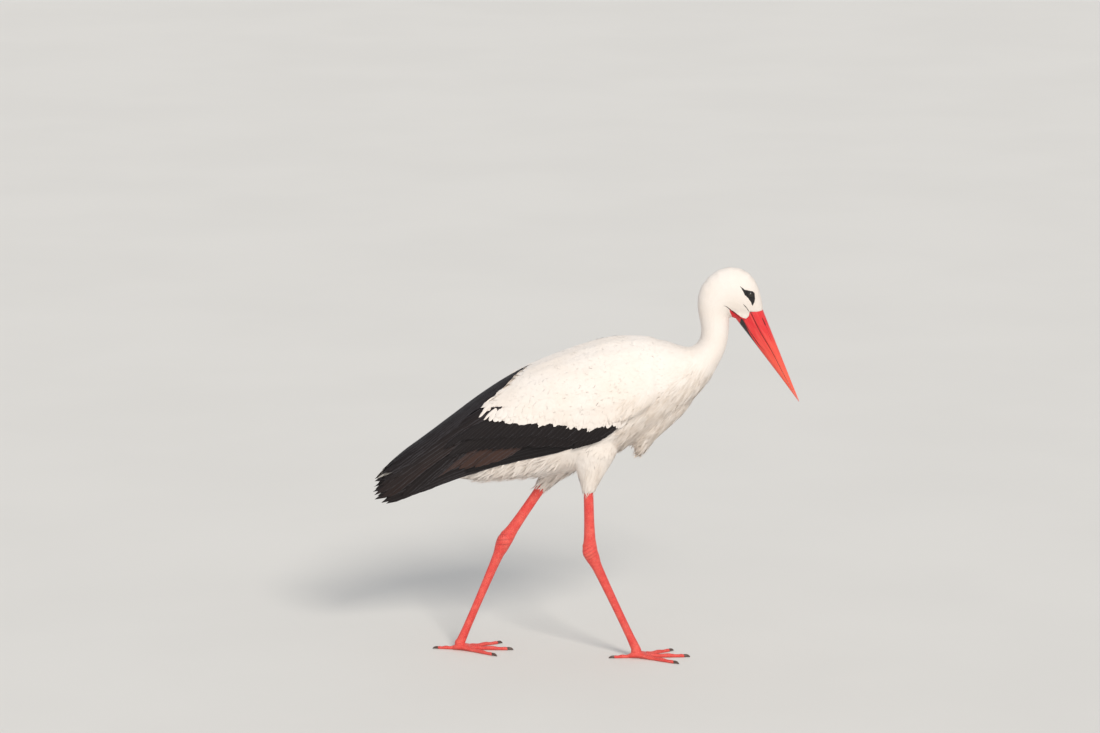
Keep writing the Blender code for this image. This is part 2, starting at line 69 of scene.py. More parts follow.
class StorkColours(bpy.types.PropertyGroup):
    """Colours of the bird and of its floor."""

    white: colour("White", "Clean white of the body feathers", (0.84, 0.768, 0.712))
    cream: colour("Cream", "Warm tint of the body feathers", (0.79, 0.675, 0.575))
    tan: colour("Tan", "Stained ends of the long breast plumes", (0.60, 0.46, 0.335))
    black: colour("Black", "Black of the wing feathers", (0.0050, 0.0050, 0.0060))
    # The grey sheen is painted reflection on the edges and shafts of the black feathers.
    sheen: colour("Grey sheen", "Pale edges of the black feathers", (0.080, 0.075, 0.082))
    # The brown on the secondaries' webs is partly their own paler webs and partly painted sheen.
    brown: colour("Brown", "Worn webs of the secondaries", (0.072, 0.037, 0.028))
    bill_base: colour("Bill base", "Horn beside the face", (0.66, 0.012, 0.020))
    bill_tip: colour("Bill tip", "Horn at the tip", (0.84, 0.110, 0.060))
    leg: colour("Leg", "Skin of the legs", (0.74, 0.050, 0.042))
    leg_pale: colour("Leg scales", "Worn scales of the legs", (0.84, 0.135, 0.098))
    # The bare skin colour is also laid on the face's folds as painted shade.
    bare: colour("Bare skin", "Black skin round the eye and under the bill", (0.012, 0.011, 0.012))
    iris: colour("Iris", "Ring of the eye", (0.055, 0.026, 0.014))
    claw: colour("Claw", "Horn of the claws", (0.055, 0.032, 0.026))
    floor: colour("Floor", "Studio floor", (0.72, 0.700, 0.665))


class StorkSizes(bpy.types.PropertyGroup):
    """Sizes of the skin and of the coat."""

    skin_voxel: length("Skin detail", "Cell size of the joined skin", 0.0025)
    leg_voxel: length("Leg detail", "Cell size of the legs' skin", 0.0009)
    face_depth: length("Face coat", "Depth of the feathers on the face", 0.0004)
    neck_depth: length("Neck coat", "Depth of the feathers on the neck", 0.0007)
    body_depth: length("Body coat", "Depth of the feathers on the body", 0.0015)
    eye_radius: length("Eye radius", "Radius of the eyeball", 0.0085)
    seed: IntProperty(name="Seed", description="Seed of the small irregularities", default=7, min=0)


# ---- the solids' own lines, in metres -----------------------------------------------------
# Middle line of head, neck and trunk as (x, z), from the bill's root to the vent.
SPINE = [(0.300, 0.648), (0.283, 0.668), (0.262, 0.682), (0.243, 0.676), (0.236, 0.655), (0.2365, 0.628),
         (0.2355, 0.603), (0.2275, 0.575), (0.210, 0.548), (0.180, 0.528), (0.140, 0.512), (0.090, 0.502),
         (0.000, 0.470), (-0.100, 0.438), (-0.200, 0.400), (-0.300, 0.360)]
# Wing shell: x, top, centre and bottom of its oval, half width.
WING_SHELL = [
    (0.125, 0.6040, 0.510, 0.405, 0.0770), (0.090, 0.6065, 0.506, 0.385, 0.0880),
    (0.045, 0.6040, 0.498, 0.362, 0.0960), (0.000, 0.5920, 0.488, 0.343, 0.0985),
    (-0.050, 0.5745, 0.474, 0.330, 0.0960), (-0.100, 0.5535, 0.458, 0.322, 0.0900),
    (-0.150, 0.5265, 0.437, 0.316, 0.0815), (-0.200, 0.4930, 0.412, 0.310, 0.0705),
    (-0.250, 0.4550, 0.384, 0.300, 0.0590), (-0.300, 0.4170, 0.356, 0.290, 0.0480),
    (-0.345, 0.3825, 0.328, 0.276, 0.0370), (-0.396, 0.3350, 0.305, 0.262, 0.0260),
]
WING_END = -0.2005  # the white coverts reach back to here
# Borders on the folded wing, as (x, z).
LOWER_EDGE = [(0.050, 0.450), (0.024, 0.424), (-0.011, 0.410), (-0.046, 0.4035), (-0.087, 0.4035),
              (-0.132, 0.3865), (-0.170, 0.3665), (-0.220, 0.3530), (-0.252, 0.3520), (-0.2975, 0.3250),
              (-0.325, 0.3050), (-0.348, 0.2940), (-0.378, 0.2880), (-0.396, 0.2960)]
COVERT_EDGE = [(0.125, 0.5000), (0.100, 0.4760), (0.075, 0.4640), (0.050, 0.4560), (0.000, 0.4480),
               (-0.050, 0.4555), (-0.100, 0.4590), (-0.165, 0.4560), (-0.185, 0.4620), (WING_END, 0.4660)]
TERTIAL_EDGE = [(-0.1126, 0.5520), (-0.1324, 0.5335), (-0.1533, 0.5170), (-0.1865, 0.4910),
                (WING_END, 0.4810), (-0.250, 0.4380), (-0.320, 0.3780), (-0.375, 0.3320)]
BAND_EDGE = [(-0.030, 0.4095), (-0.060, 0.4105), (-0.110, 0.4085), (-0.170, 0.4040), (-0.240, 0.3920),
             (-0.300, 0.3550), (-0.345, 0.3230), (-0.396, 0.3050)]
# Black gap between the last two lobes of white coverts, as (x, z).
NOTCH = [(-0.1855, 0.4640), (-0.1791, 0.4768), (-0.1717, 0.4832), (-0.1633, 0.4850), (-0.1615, 0.4825),
         (-0.1680, 0.4735), (-0.1748, 0.4650)]
# Bill at even steps from root to tip: ridge, mouth line, edge of the lower horn and underside as (x, z), and
# half width.
BILL = [
    ((0.3275, 0.6530), (0.3062, 0.6475), (0.2880, 0.6395), (0.2765, 0.6385), 0.0140),
    ((0.3400, 0.6215), (0.3215, 0.6161), (0.3040, 0.6130), (0.2990, 0.6095), 0.0112),
    ((0.3540, 0.5865), (0.3427, 0.5800), (0.3290, 0.5755), (0.3278, 0.5714), 0.0084),
    ((0.3745, 0.5350), (0.3679, 0.5312), (0.3612, 0.5273), (0.3612, 0.5273), 0.0052),
    ((0.3955, 0.4825), (0.3949, 0.4823), (0.3943, 0.4820), (0.3943, 0.4820), 0.0010),
]
SIDES = {"right": -1, "left": 1}  # the sign of Y on each side of the bird
EYE = Vector((0.3015, 0.0150, 0.6870))
FACE_LEAN = 0.2  # outlines on the face are given lower by this share of the distance from the middle
# Bare skin round the eye, as (x, leaned z).
EYE_PATCH = [(0.2828, 0.6995), (0.2921, 0.6922), (0.2990, 0.6905), (0.3076, 0.6890), (0.3106, 0.6852),
             (0.3115, 0.6750), (0.3104, 0.6690), (0.3072, 0.6622), (0.3052, 0.6622), (0.3040, 0.6680),
             (0.2995, 0.6738), (0.2931, 0.6797), (0.2890, 0.6878), (0.2855, 0.6940)]
# Joints of each leg, and how many degrees its toes turn.
Leg = namedtuple("Leg", "hip cuff ankle foot turn")
LEGS = {
    "right": Leg(Vector((0.004, -0.042, 0.432)), Vector((0.005, -0.044, 0.320)),
                 Vector((0.008, -0.038, 0.2046)), Vector((0.0955, -0.030, 0.014)), 2.0),
    "left": Leg(Vector((-0.010, 0.042, 0.424)), Vector((-0.078, 0.042, 0.3166)),
                Vector((-0.152, 0.037, 0.2076)), Vector((-0.2345, 0.030, 0.014)), -3.0),
}
# Toes: degrees from straight ahead, length, radius.
TOES = {"inner": (-34.0, 0.077, 0.0048), "middle": (0.0, 0.090, 0.0050), "outer": (34.0, 0.082, 0.0048),
        "hind": (176.0, 0.043, 0.0043)}
CLAW_LENGTH = 0.0095


# ---- curves -------------------------------------------------------------------------------
def through(rows, at):
    """Smooth curves through rows of numbers, read at the row numbers `at`."""
    rows = np.asarray(rows, float)
    at = np.clip(np.asarray(at, float), 0, len(rows) - 1)
    i = np.minimum(at.astype(int), len(rows) - 2)
    t = (at - i)[..., None]
    padded = np.vstack([2 * rows[0] - rows[1], rows, 2 * rows[-1] - rows[-2]])
    a, b, c, d = (padded[i + k] for k in range(4))
    return b + 0.5 * t * (c - a + t * (2 * a - 5 * b + 4 * c - d + t * (3 * (b - c) + d - a)))


def height_on(line, x):
    """The z of a falling-x line of (x, z) points at x."""
    line = np.asarray(line, float)
    at = np.interp(-np.asarray(x, float), -line[:, 0], np.arange(len(line)))
    return through(line[:, 1:], at)[..., 0]


def unit(v):
    """Vectors brought to length 1."""
    return v / np.maximum(np.linalg.norm(v, axis=-1, keepdims=True), 1e-12)


def smoothstep(low, high, x):
    """0 at `low` and 1 at `high`, smooth between them; `low` may be the larger."""
    t = np.clip((np.asarray(x, float) - low) / (high - low), 0, 1)
    return t * t * (3 - 2 * t)


def wing_oval(x):
    """Top, centre, bottom and half width of the wing shell at x."""
    rows = np.asarray(WING_SHELL)
    at = np.interp(-np.asarray(x, float), -rows[:, 0], np.arange(len(rows)))
    return np.moveaxis(through(rows[:, 1:], at), -1, 0)


def wing_angle(x, z):
    """The angle round the shell at which its surface is at height z."""
    top, centre, bottom, _ = wing_oval(x)
    reach = np.where(z > centre, top - centre, centre - bottom)
    return np.arcsin(np.clip((z - centre) / reach, -1, 1))


def wing_point(x, angle, lift, side):
    """A point on the shell, `lift` above its surface."""
    top, centre, bottom, half = wing_oval(x)
    reach = np.where(angle > 0, top - centre, centre - bottom)
    return np.stack([np.broadcast_to(x, np.shape(half)), side * (half + lift) * np.cos(angle),
                     centre + (reach + lift) * np.sin(angle)], -1)


# ---- meshes -------------------------------------------------------------------------------
def mesh_object(name, points, faces, smooth=True):
    """A new object in the scene from points and faces."""
    mesh = bpy.data.meshes.new(name)
    mesh.from_pydata([tuple(p) for p in points], [], faces)
    mesh.validate()
    mesh.update()
    if smooth:
        mesh.shade_smooth()
    made = bpy.data.objects.new(name, mesh)
    bpy.context.scene.collection.objects.link(made)
    return made


def ring_faces(rows, sides, start=0, closed=True, caps=True):
    """Faces of a tube of rings with equal numbers of points."""
    faces = []
    for r in range(rows - 1):
        a, b = start + r * sides, start + (r + 1) * sides
        for k in range(sides if closed else sides - 1):
            n = (k + 1) % sides
            faces.append((a + k, a + n, b + n, b + k))
    if caps:
        faces.append(tuple(start + k for k in reversed(range(sides))))
        faces.append(tuple(start + (rows - 1) * sides + k for k in range(sides)))
    return faces


def tube(centres, depths, widths, sides, reference=(0.0, 1.0, 0.0)):
    """Rings along a path: half depth across the reference direction, half width along it."""
    centres = np.asarray(centres, float)
    along = unit(np.gradient(centres, axis=0))
    reference = np.asarray(reference, float)
    side = unit(reference - along * (along @ reference)[:, None])
    front = np.cross(side, along)
    angle = np.arange(sides) * 2 * math.pi / sides
    ring = (front[:, None] * np.cos(angle)[None, :, None] * np.asarray(depths)[:, None, None]
            + side[:, None] * np.sin(angle)[None, :, None] * np.asarray(widths)[:, None, None])
    return (centres[:, None] + ring).reshape(-1, 3)


def ball(centre, radii, rings=12, sides=20):
    """Points and faces of an ellipsoid."""
    points = []
    for r in range(1, rings):
        polar = math.pi * r / rings
        for k in range(sides):
            turn = 2 * math.pi * k / sides
            points.append((centre[0] + radii[0] * math.sin(polar) * math.cos(turn),
                           centre[1] + radii[1] * math.sin(polar) * math.sin(turn),
                           centre[2] + radii[2] * math.cos(polar)))
    return np.array(points), ring_faces(rings - 1, sides)


def join(parts):
    """One list of points and one of faces from several."""
    points, faces, start = [], [], 0
    for p, f in parts:
        points.append(np.asarray(p, float))
        faces += [tuple(i + start for i in face) for face in f]
        start += len(p)
    return np.vstack(points), faces


def solid_of(node, swell):
    """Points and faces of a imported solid, swollen a little so that neighbours join."""
    work = bmesh.new()
    work.from_mesh(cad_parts[node].data)
    bmesh.ops.remove_doubles(work, verts=work.verts, dist=1e-5)
    bmesh.ops.recalc_face_normals(work, faces=work.faces)
    work.normal_update()
    work.verts.index_update()
    points = np.array([v.co + v.normal * swell for v in work.verts])
    faces = [tuple(v.index for v in f.verts) for f in work.faces]
    work.free()
    return points, faces


def fused(points, faces, voxel):
    """The outer surface of overlapping closed pieces, as points and quads."""
    rough = mesh_object("rough", points, faces, smooth=False)
    remesh = rough.modifiers.new("fuse", "REMESH")
    remesh.mode = "VOXEL"
    remesh.voxel_size = voxel
    remesh.adaptivity = 0.0
    mesh = bpy.data.meshes.new_from_object(rough.evaluated_get(bpy.context.evaluated_depsgraph_get()))
    out = np.empty(len(mesh.vertices) * 3)
    mesh.vertices.foreach_get("co", out)
    quads = [tuple(p.vertices) for p in mesh.polygons]
    bpy.data.objects.remove(rough)
    bpy.data.meshes.remove(mesh)
    return out.reshape(-1, 3), quads


def edges_of(faces):
    """Every edge once, as pairs of point numbers."""
    pairs = set()
    for f in faces:
        for a, b in zip(f, f[1:] + f[:1]):
            pairs.add((a, b) if a < b else (b, a))
    return np.array(sorted(pairs))


def relaxed(points, edges, rounds, amount=0.5, weight=None):
    """Points moved towards the middle of their neighbours."""
    a, b = edges[:, 0], edges[:, 1]
    count = np.bincount(np.r_[a, b], minlength=len(points))[:, None]
    weight = amount if weight is None else amount * weight[:, None]
    for _ in range(rounds):
        total = np.stack([np.bincount(np.r_[a, b], np.r_[points[b, k], points[a, k]], len(points))
                          for k in range(3)], 1)
        points = points + (total / count - points) * weight
    return points


def point_normals(points, faces):
    """Smooth normals of a mesh of triangles and quads."""
    quads = np.array([f if len(f) == 4 else (f[0], f[1], f[2], f[2]) for f in faces])
    a, b, c, d = (points[quads[:, k]] for k in range(4))
    cross = np.cross(c - a, d - b)
    flat = quads[:, 2] == quads[:, 3]
    cross[flat] = np.cross(b[flat] - a[flat], c[flat] - a[flat])
    out = np.zeros_like(points)
    for k in range(4):
        for axis in range(3):
            out[:, axis] += np.bincount(quads[:, k], cross[:, axis], len(points))
    return unit(out)


def attribute(mesh, name, values):
    """One number on every point of a mesh, for its material."""
    layer = mesh.attributes.new(name, "FLOAT", "POINT")
    layer.data.foreach_set("value", np.asarray(values, np.float32))


# ---- places on the bird -------------------------------------------------------------------
def spine_samples():
    """Steps along the middle line of head, neck and body, with its places and directions there."""
    at = np.linspace(0, len(SPINE) - 1, 241)
    line = through(SPINE, at)
    tangent = unit(np.gradient(line, axis=0))
    return at, *(np.stack([value[:, 0], 0 * at, value[:, 1]], 1) for value in (line, tangent))


SPINE_AT, SPINE_LINE, SPINE_TANGENT = spine_samples()


def along_body(points):
    """Each point's place on the middle line, in steps."""
    out = np.empty(len(points))
    for k in range(0, len(points), 4000):
        part = points[k:k + 4000]
        away = ((part[:, None, [0, 2]] - SPINE_LINE[None][:, :, [0, 2]]) ** 2).sum(-1)
        out[k:k + 4000] = SPINE_AT[away.argmin(1)]
    return out


def body_flow(points):
    """The way the feathers lie: along the middle line towards the tail, blended over its bends."""
    out = np.empty_like(points)
    for k in range(0, len(points), 4000):
        part = points[k:k + 4000]
        away = ((part[:, None, [0, 2]] - SPINE_LINE[None][:, :, [0, 2]]) ** 2).sum(-1)
        weight = np.exp(-(np.sqrt(away) - np.sqrt(away.min(1))[:, None]) / 0.006)
        out[k:k + 4000] = weight @ SPINE_TANGENT
    return unit(out)


def on_thigh(points):
    """1 on a thigh, 0 elsewhere, and the way down that thigh."""
    best = np.zeros(len(points))
    flow = np.zeros_like(points)
    for name, leg in LEGS.items():
        hip, down = np.array(leg.hip), np.array(leg.cuff) - np.array(leg.hip)
        share = ((points - hip) @ down) / (down @ down)
        nearest = hip + np.clip(share, 0, 1)[:, None] * down
        away = np.linalg.norm(points - nearest, axis=1)
        part = smoothstep(0.15, 0.42, share) * (1 - smoothstep(0.044, 0.056, away))
        part *= points[:, 1] * SIDES[name] > 0
        better = part > best
        best = np.maximum(best, part)
        flow[better] = unit(np.array(leg.cuff - leg.hip))
    return best, flow


def wing_zone(points):
    """0 off the wing's outer face, 1 on its white coverts, 2 on its black feathers."""
    x, y, z = points.T
    half = wing_oval(x)[3]
    angle = wing_angle(x, z)
    outer = (np.abs(y) > half * np.cos(angle) * 0.90 - 0.004) & (x < 0.128) & (x > -0.397)
    over_lower = z > height_on(LOWER_EDGE, x) - 0.001
    front = x < 0.052
    black = (z < height_on(COVERT_EDGE, x)) & over_lower & front
    tail_end = (x < -0.1126) & (angle > wing_angle(x, height_on(TERTIAL_EDGE, x)))
    black |= tail_end | ((x < WING_END) & over_lower)
    white = (x >= WING_END) & (z >= height_on(COVERT_EDGE, x)) & ~tail_end
    return np.where(outer & black, 2, np.where(outer & white, 1, 0))


def patch_distance(x, z, outline):
    """Signed distance to a closed outline of (x, z) points, negative inside."""
    outline = np.asarray(outline)
    after = np.roll(outline, -1, 0)
    p = np.stack([x, z], -1)[:, None]
    edge = after - outline
    t = np.clip(((p - outline) * edge).sum(-1) / (edge ** 2).sum(-1), 0, 1)
    away = np.linalg.norm(p - (outline + edge * t[..., None]), axis=-1).min(1)
    above = (outline[:, 1] > z[:, None]) != (after[:, 1] > z[:, None])
    rise = np.where(np.abs(edge[:, 1]) < 1e-9, 1e-9, edge[:, 1])
    cross = outline[:, 0] + (z[:, None] - outline[:, 1]) / rise * edge[:, 0]
    inside = ((above & (x[:, None] < cross)).sum(1) % 2) == 1
    return np.where(inside, -away, away)


DEEPER = 0.0035  # how much further the skin draws back under the bib's end and the rear of the wings


def coat_depth(points):
    """How deep the skin lies under the outline."""
    _, sizes = settings()
    at = along_body(points)
    depth = np.interp(at, [1.0, 3.0, 5.0, 8.0, 10.5, 15.0],
                      [sizes.face_depth, sizes.face_depth * 1.6, sizes.neck_depth, sizes.neck_depth * 1.3,
                       sizes.body_depth, sizes.body_depth])
    thigh, _ = on_thigh(points)
    depth = depth * (1 - 0.40 * thigh)
    bib_end = smoothstep(0.430, 0.390, points[:, 2]) * smoothstep(0.080, 0.092, points[:, 0])
    wing_rear = smoothstep(-0.12, -0.18, points[:, 0]) * (wing_zone(points) > 0)
    return depth + DEEPER * (bib_end + wing_rear)


# ---- materials ----------------------------------------------------------------------------
class Nodes:
    """Short hand for making one material."""

    def __init__(self, name):
        self.material = bpy.data.materials.new(name)
        self.material.use_nodes = True
        self.tree = self.material.node_tree
        self.shader = self.tree.nodes["Principled BSDF"]

    def add(self, kind, **settings):
        node = self.tree.nodes.new(kind)
        inputs = settings.pop("inputs", {})
        for key, value in settings.items():
            setattr(node, key, value)
        for key, value in inputs.items():
            if isinstance(value, bpy.types.NodeSocket):
                self.tree.links.new(value, node.inputs[key])
            else:
                node.inputs[key].default_value = value
        return node

    def position(self):
        return self.add("ShaderNodeNewGeometry").outputs["Position"]

    def attribute(self, name):
        return self.add("ShaderNodeAttribute", attribute_name=name).outputs["Fac"]

    def vane(self):
        """The place on a feather: across in X, along in Y."""
        return self.add("ShaderNodeUVMap", uv_map="vane").outputs["UV"]

    def noise(self, scale, detail=3.0, vector=None, rough=0.5):
        inputs = {"Vector": vector or self.position(), "Scale": scale, "Detail": detail, "Roughness": rough}
        return self.add("ShaderNodeTexNoise", inputs=inputs).outputs["Fac"]

    def streaks(self, x, y, z=0.0, detail=3.0, rough=0.5):
        """Noise over a place made of three values."""
        place = self.add("ShaderNodeCombineXYZ", inputs={"X": x, "Y": y, "Z": z}).outputs[0]
        return self.noise(1.0, detail, place, rough)

    def math(self, operation, a, b=0.5, c=0.5, clamp=False):
        node = self.add("ShaderNodeMath", operation=operation, use_clamp=clamp, inputs={0: a, 1: b, 2: c})
        return node.outputs[0]

    def times(self, a, b, clamp=False):
        return self.math("MULTIPLY", a, b, clamp=clamp)

    def span(self, value, low, high, to_low=0.0, to_high=1.0):
        inputs = {"Value": value, "From Min": low, "From Max": high, "To Min": to_low, "To Max": to_high}
        return self.add("ShaderNodeMapRange", interpolation_type="SMOOTHSTEP", inputs=inputs).outputs[0]

    def off_shaft(self, across):
        """How far a place on a feather is from its shaft."""
        return self.math("ABSOLUTE", self.math("SUBTRACT", across, 0.5))

    def barbs(self, along, off_shaft, fine, slant):
        """Ridges that run from the shaft outwards and towards the end."""
        return self.math("SINE", self.math("MULTIPLY_ADD", along, fine, self.times(off_shaft, -slant)))

    def mix(self, share, a, b):
        node = self.add("ShaderNodeMix", data_type="RGBA")
        for key, value in ((0, share), (6, a), (7, b)):
            if isinstance(value, bpy.types.NodeSocket):
                self.tree.links.new(value, node.inputs[key])
            else:
                node.inputs[key].default_value = (*value, 1.0) if key else value
        return node.outputs[2]

    def split(self, vector):
        return self.add("ShaderNodeSeparateXYZ", inputs={0: vector}).outputs

    def bump(self, height, strength, distance, onto=None):
        inputs = {"Height": height, "Strength": strength, "Distance": distance}
        if onto:
            inputs["Normal"] = onto
        return self.add("ShaderNodeBump", inputs=inputs).outputs["Normal"]

    def finish(self, base=None, rough=None, normal=None, **constants):
        for key, value in (("Base Color", base), ("Roughness", rough), ("Normal", normal)):
            if isinstance(value, bpy.types.NodeSocket):
                self.tree.links.new(value, self.shader.inputs[key])
            elif value is not None:
                self.shader.inputs[key].default_value = (*value, 1.0) if key == "Base Color" else value
        for key, value in constants.items():
            self.shader.inputs[key.replace("_", " ")].default_value = value
        return self.material


def settings():
    """The colours and the sizes that the panel shows."""
    return bpy.context.scene.stork_colours, bpy.context.scene.stork_sizes


def dice(seed):
    """Random numbers for one piece."""
    return np.random.default_rng(settings()[1].seed + seed)


def dress(obj, material, nodes):
    """Gives a piece its material, slot and place among the solids."""
    obj.data.materials.clear()
    obj.data.materials.append(material)
    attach(obj, "root")
    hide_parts(*nodes)
    return obj


# Shades laid over the main colours.
# The pale colour for the tertials marks a whitish tip on one feather and a painted highlight along another's
# upper edge.
DUST, PALE_TIP_AND_HIGHLIGHT = (0.62, 0.58, 0.52), (0.55, 0.51, 0.46)
# The horn's line colour is painted shade: the nostril slits, the groove before them, the mouth line and the
# crease under the chin.
HORN_LIGHT, HORN_DEEP, HORN_SHADE = (0.80, 0.16, 0.12), (0.30, 0.008, 0.014), (0.020, 0.006, 0.007)
# The gap and crease colours of the legs are painted shade between scales and in folds.
SCALE_LIGHT, GAP_SHADE, CREASE_SHADE = (0.92, 0.34, 0.26), (0.34, 0.020, 0.022), (0.20, 0.012, 0.014)
CLAW_WORN = (0.20, 0.13, 0.10)
IRIS_SPOKES, IRIS_RIM, PUPIL = (0.060, 0.030, 0.018), (0.008, 0.006, 0.006), (0.003, 0.003, 0.003)


def white_feather_material():
    """White vanes with a warm tint, darker where they are stained, with fine barbs."""
    if "white feathers" in bpy.data.materials:
        return bpy.data.materials["white feathers"]
    c, _ = settings()
    n = Nodes("white feathers")
    across, along, _ = n.split(n.vane())
    tint = n.span(n.noise(14.0, 3.0), 0.36, 0.70)
    warm = n.attribute("warm")
    tone = n.attribute("tone")
    base = n.mix(n.times(tint, 0.42), c.white, c.cream)
    stain = n.times(n.times(warm, n.span(n.noise(60.0, 2.0), 0.2, 0.8, 0.45, 1.0)),
                    n.span(along, 0.1, 1.0, 0.35, 1.0), clamp=True)
    base = n.mix(stain, base, c.tan)
    base = n.mix(n.math("MULTIPLY_ADD", tone, 0.10, 0.10, clamp=True), base, DUST)
    normal = n.bump(n.barbs(along, n.off_shaft(across), 150.0, 70.0), 0.22, 0.0002)
    return n.finish(base, 0.72, normal, Sheen_Weight=0.25, Sheen_Roughness=0.5, Specular_IOR_Level=0.25)


def black_feather_material(name, brown):
    """Glossy black vanes with a painted grey sheen on their edges and shafts; `brown` is how far their webs
    turn brown, partly their own paler webs and partly painted sheen.
    """
    if name in bpy.data.materials:
        return bpy.data.materials[name]
    c, _ = settings()
    n = Nodes(name)
    across, along, _ = n.split(n.vane())
    off_shaft = n.off_shaft(across)
    tone = n.attribute("tone")
    fine = n.streaks(n.math("MULTIPLY_ADD", along, 60.0, n.times(off_shaft, -46.0)), n.times(across, 3.0),
                     n.times(tone, 9.0))
    # Brown share: partly the webs' own paler colour, partly painted sheen where light catches them.
    worn = n.times(n.span(fine, 0.35, 0.75, 0.45, 1.0), n.attribute("warm"), clamp=True)
    base = n.mix(n.times(worn, brown), c.black, c.brown)
    ragged = n.math("MULTIPLY_ADD", n.streaks(n.times(along, 22.0), n.times(tone, 31.0)), 0.20, -0.10)
    # Painted sheen: grey reflection along the ragged edges of each vane.
    edge = n.times(n.span(n.math("ADD", off_shaft, ragged), 0.34, 0.50), n.span(fine, 0.3, 0.8, 0.10, 0.9))
    base = n.mix(edge, base, c.sheen)
    # Painted sheen along the shaft.
    shaft = n.span(off_shaft, 0.008, 0.026, 0.22, 0.0)
    base = n.mix(shaft, base, c.sheen)
    # Whitish tip on one tertial, and a painted highlight along the upper edge of another.
    base = n.mix(n.attribute("pale"), base, PALE_TIP_AND_HIGHLIGHT)
    barbs = n.barbs(along, off_shaft, 420.0, 330.0)
    normal = n.bump(barbs, 0.30, 0.0003, n.bump(fine, 0.35, 0.001))
    rough = n.span(fine, 0.2, 0.8, 0.42, 0.62)
    return n.finish(base, rough, normal, Specular_IOR_Level=0.20)


def bare_skin_material():
    """The joined skin: pale under the feathers, stained on the breast, bare black and red on the face."""
    c, _ = settings()
    n = Nodes("skin")
    fine = n.noise(900.0, 3.0)
    broad = n.noise(40.0, 3.0)
    base = n.mix(n.times(broad, 0.6), c.white, c.cream)
    base = n.mix(n.attribute("stained"), base, c.tan)
    base = n.mix(n.attribute("gape"), base, c.bill_base)
    base = n.mix(n.attribute("bare"), base, c.bare)
    normal = n.bump(fine, 0.35, 0.0006, n.bump(n.noise(300.0, 2.0), 0.25, 0.001))
    return n.finish(base, n.span(fine, 0.3, 0.7, 0.50, 0.72), normal, Specular_IOR_Level=0.35)


def bill_material():
    """Smooth horn, deep red by the face and orange by the tip, streaked along its length, with painted shade
    in the nostrils, along the mouth line and in the chin's crease.
    """
    c, _ = settings()
    n = Nodes("bill horn")
    across, along, _ = n.split(n.vane())
    streaks = n.streaks(n.times(along, 5.0), n.times(across, 26.0), 0.3, 4.0, 0.6)
    cloud = n.noise(55.0, 3.0)
    share = n.math("ADD", n.span(along, 0.05, 0.95), n.math("MULTIPLY_ADD", cloud, 0.36, -0.18), clamp=True)
    base = n.mix(share, c.bill_base, c.bill_tip)
    base = n.mix(n.span(streaks, 0.42, 0.72, 0.0, 0.30), base, HORN_LIGHT)
    base = n.mix(n.span(streaks, 0.44, 0.26, 0.0, 0.38), base, HORN_DEEP)
    # Painted shade along the nostrils, the nasal groove, the mouth line and the chin's crease.
    base = n.mix(n.attribute("shade_lines"), base, HORN_SHADE)
    base = n.mix(n.attribute("gape"), base, c.bare)
    pits = n.noise(700.0, 2.0)
    normal = n.bump(streaks, 0.25, 0.0012, n.bump(pits, 0.12, 0.0004))
    rough = n.span(streaks, 0.2, 0.8, 0.24, 0.38)
    return n.finish(base, rough, normal, Specular_IOR_Level=0.5, Coat_Weight=0.25, Coat_Roughness=0.3)


def leg_material():
    """Red leathery skin with small worn scales, with painted shade in the gaps and creases between them."""
    c, _ = settings()
    n = Nodes("leg skin")
    inputs = {"Vector": n.position(), "Scale": 420.0}
    cells = n.add("ShaderNodeTexVoronoi", feature="DISTANCE_TO_EDGE", inputs=inputs)
    gap = n.span(cells.outputs["Distance"], 0.02, 0.16)
    cloud = n.noise(70.0, 4.0)
    small = n.noise(260.0, 3.0)
    base = n.mix(n.span(cloud, 0.30, 0.76, 0.12, 0.80), c.leg, c.leg_pale)
    base = n.mix(n.span(small, 0.52, 0.78, 0.0, 0.26), base, SCALE_LIGHT)
    # Painted shade in the gaps between scales.
    base = n.mix(n.times(n.span(gap, 0.0, 1.0, 0.55, 0.0), 0.8), base, GAP_SHADE)
    # Painted shade in the creases and the folds round the ankle.
    base = n.mix(n.times(n.attribute("crease"), 0.85), base, CREASE_SHADE)
    normal = n.bump(gap, 0.35, 0.0007, n.bump(small, 0.20, 0.0006))
    rough = n.span(small, 0.3, 0.7, 0.42, 0.58)
    return n.finish(base, rough, normal, Specular_IOR_Level=0.45, Sheen_Weight=0.05)


def claw_material():
    """Dark worn horn."""
    c, _ = settings()
    n = Nodes("claw horn")
    grain = n.noise(800.0, 3.0)
    base = n.mix(n.span(grain, 0.35, 0.75, 0.0, 0.6), c.claw, CLAW_WORN)
    return n.finish(base, 0.38, n.bump(grain, 0.2, 0.0004), Specular_IOR_Level=0.5)


def eye_material():
    """Dark iris with fine spokes round a black pupil."""
    c, _ = settings()
    n = Nodes("eye")
    reach = n.attribute("from_axis")
    spokes = n.streaks(n.times(n.attribute("round_axis"), 9.0), n.times(reach, 900.0), detail=4.0)
    iris = n.mix(n.span(spokes, 0.3, 0.7), c.iris, IRIS_SPOKES)
    base = n.mix(n.span(reach, 0.0020, 0.0024), PUPIL, iris)
    base = n.mix(n.span(reach, 0.0044, 0.0051), base, IRIS_RIM)
    return n.finish(base, 0.08, n.bump(spokes, 0.04, 0.0002), Specular_IOR_Level=0.22, Coat_Weight=0.25,
                    Coat_Roughness=0.02)


# ---- the skin -----------------------------------------------------------------------------
FLESH = ["trunk", "neck_lower", "neck_upper", "head", "vent", "breast_plumes", "coverts_right",
         "coverts_left", "thigh_right", "thigh_left"]
SWELL = 0.0006  # the solids of the flesh grow by this, so that they join into one skin
EYE_LOOK = {side: Vector((0.20, side * 1.0, 0.06)).normalized() for side in SIDES.values()}
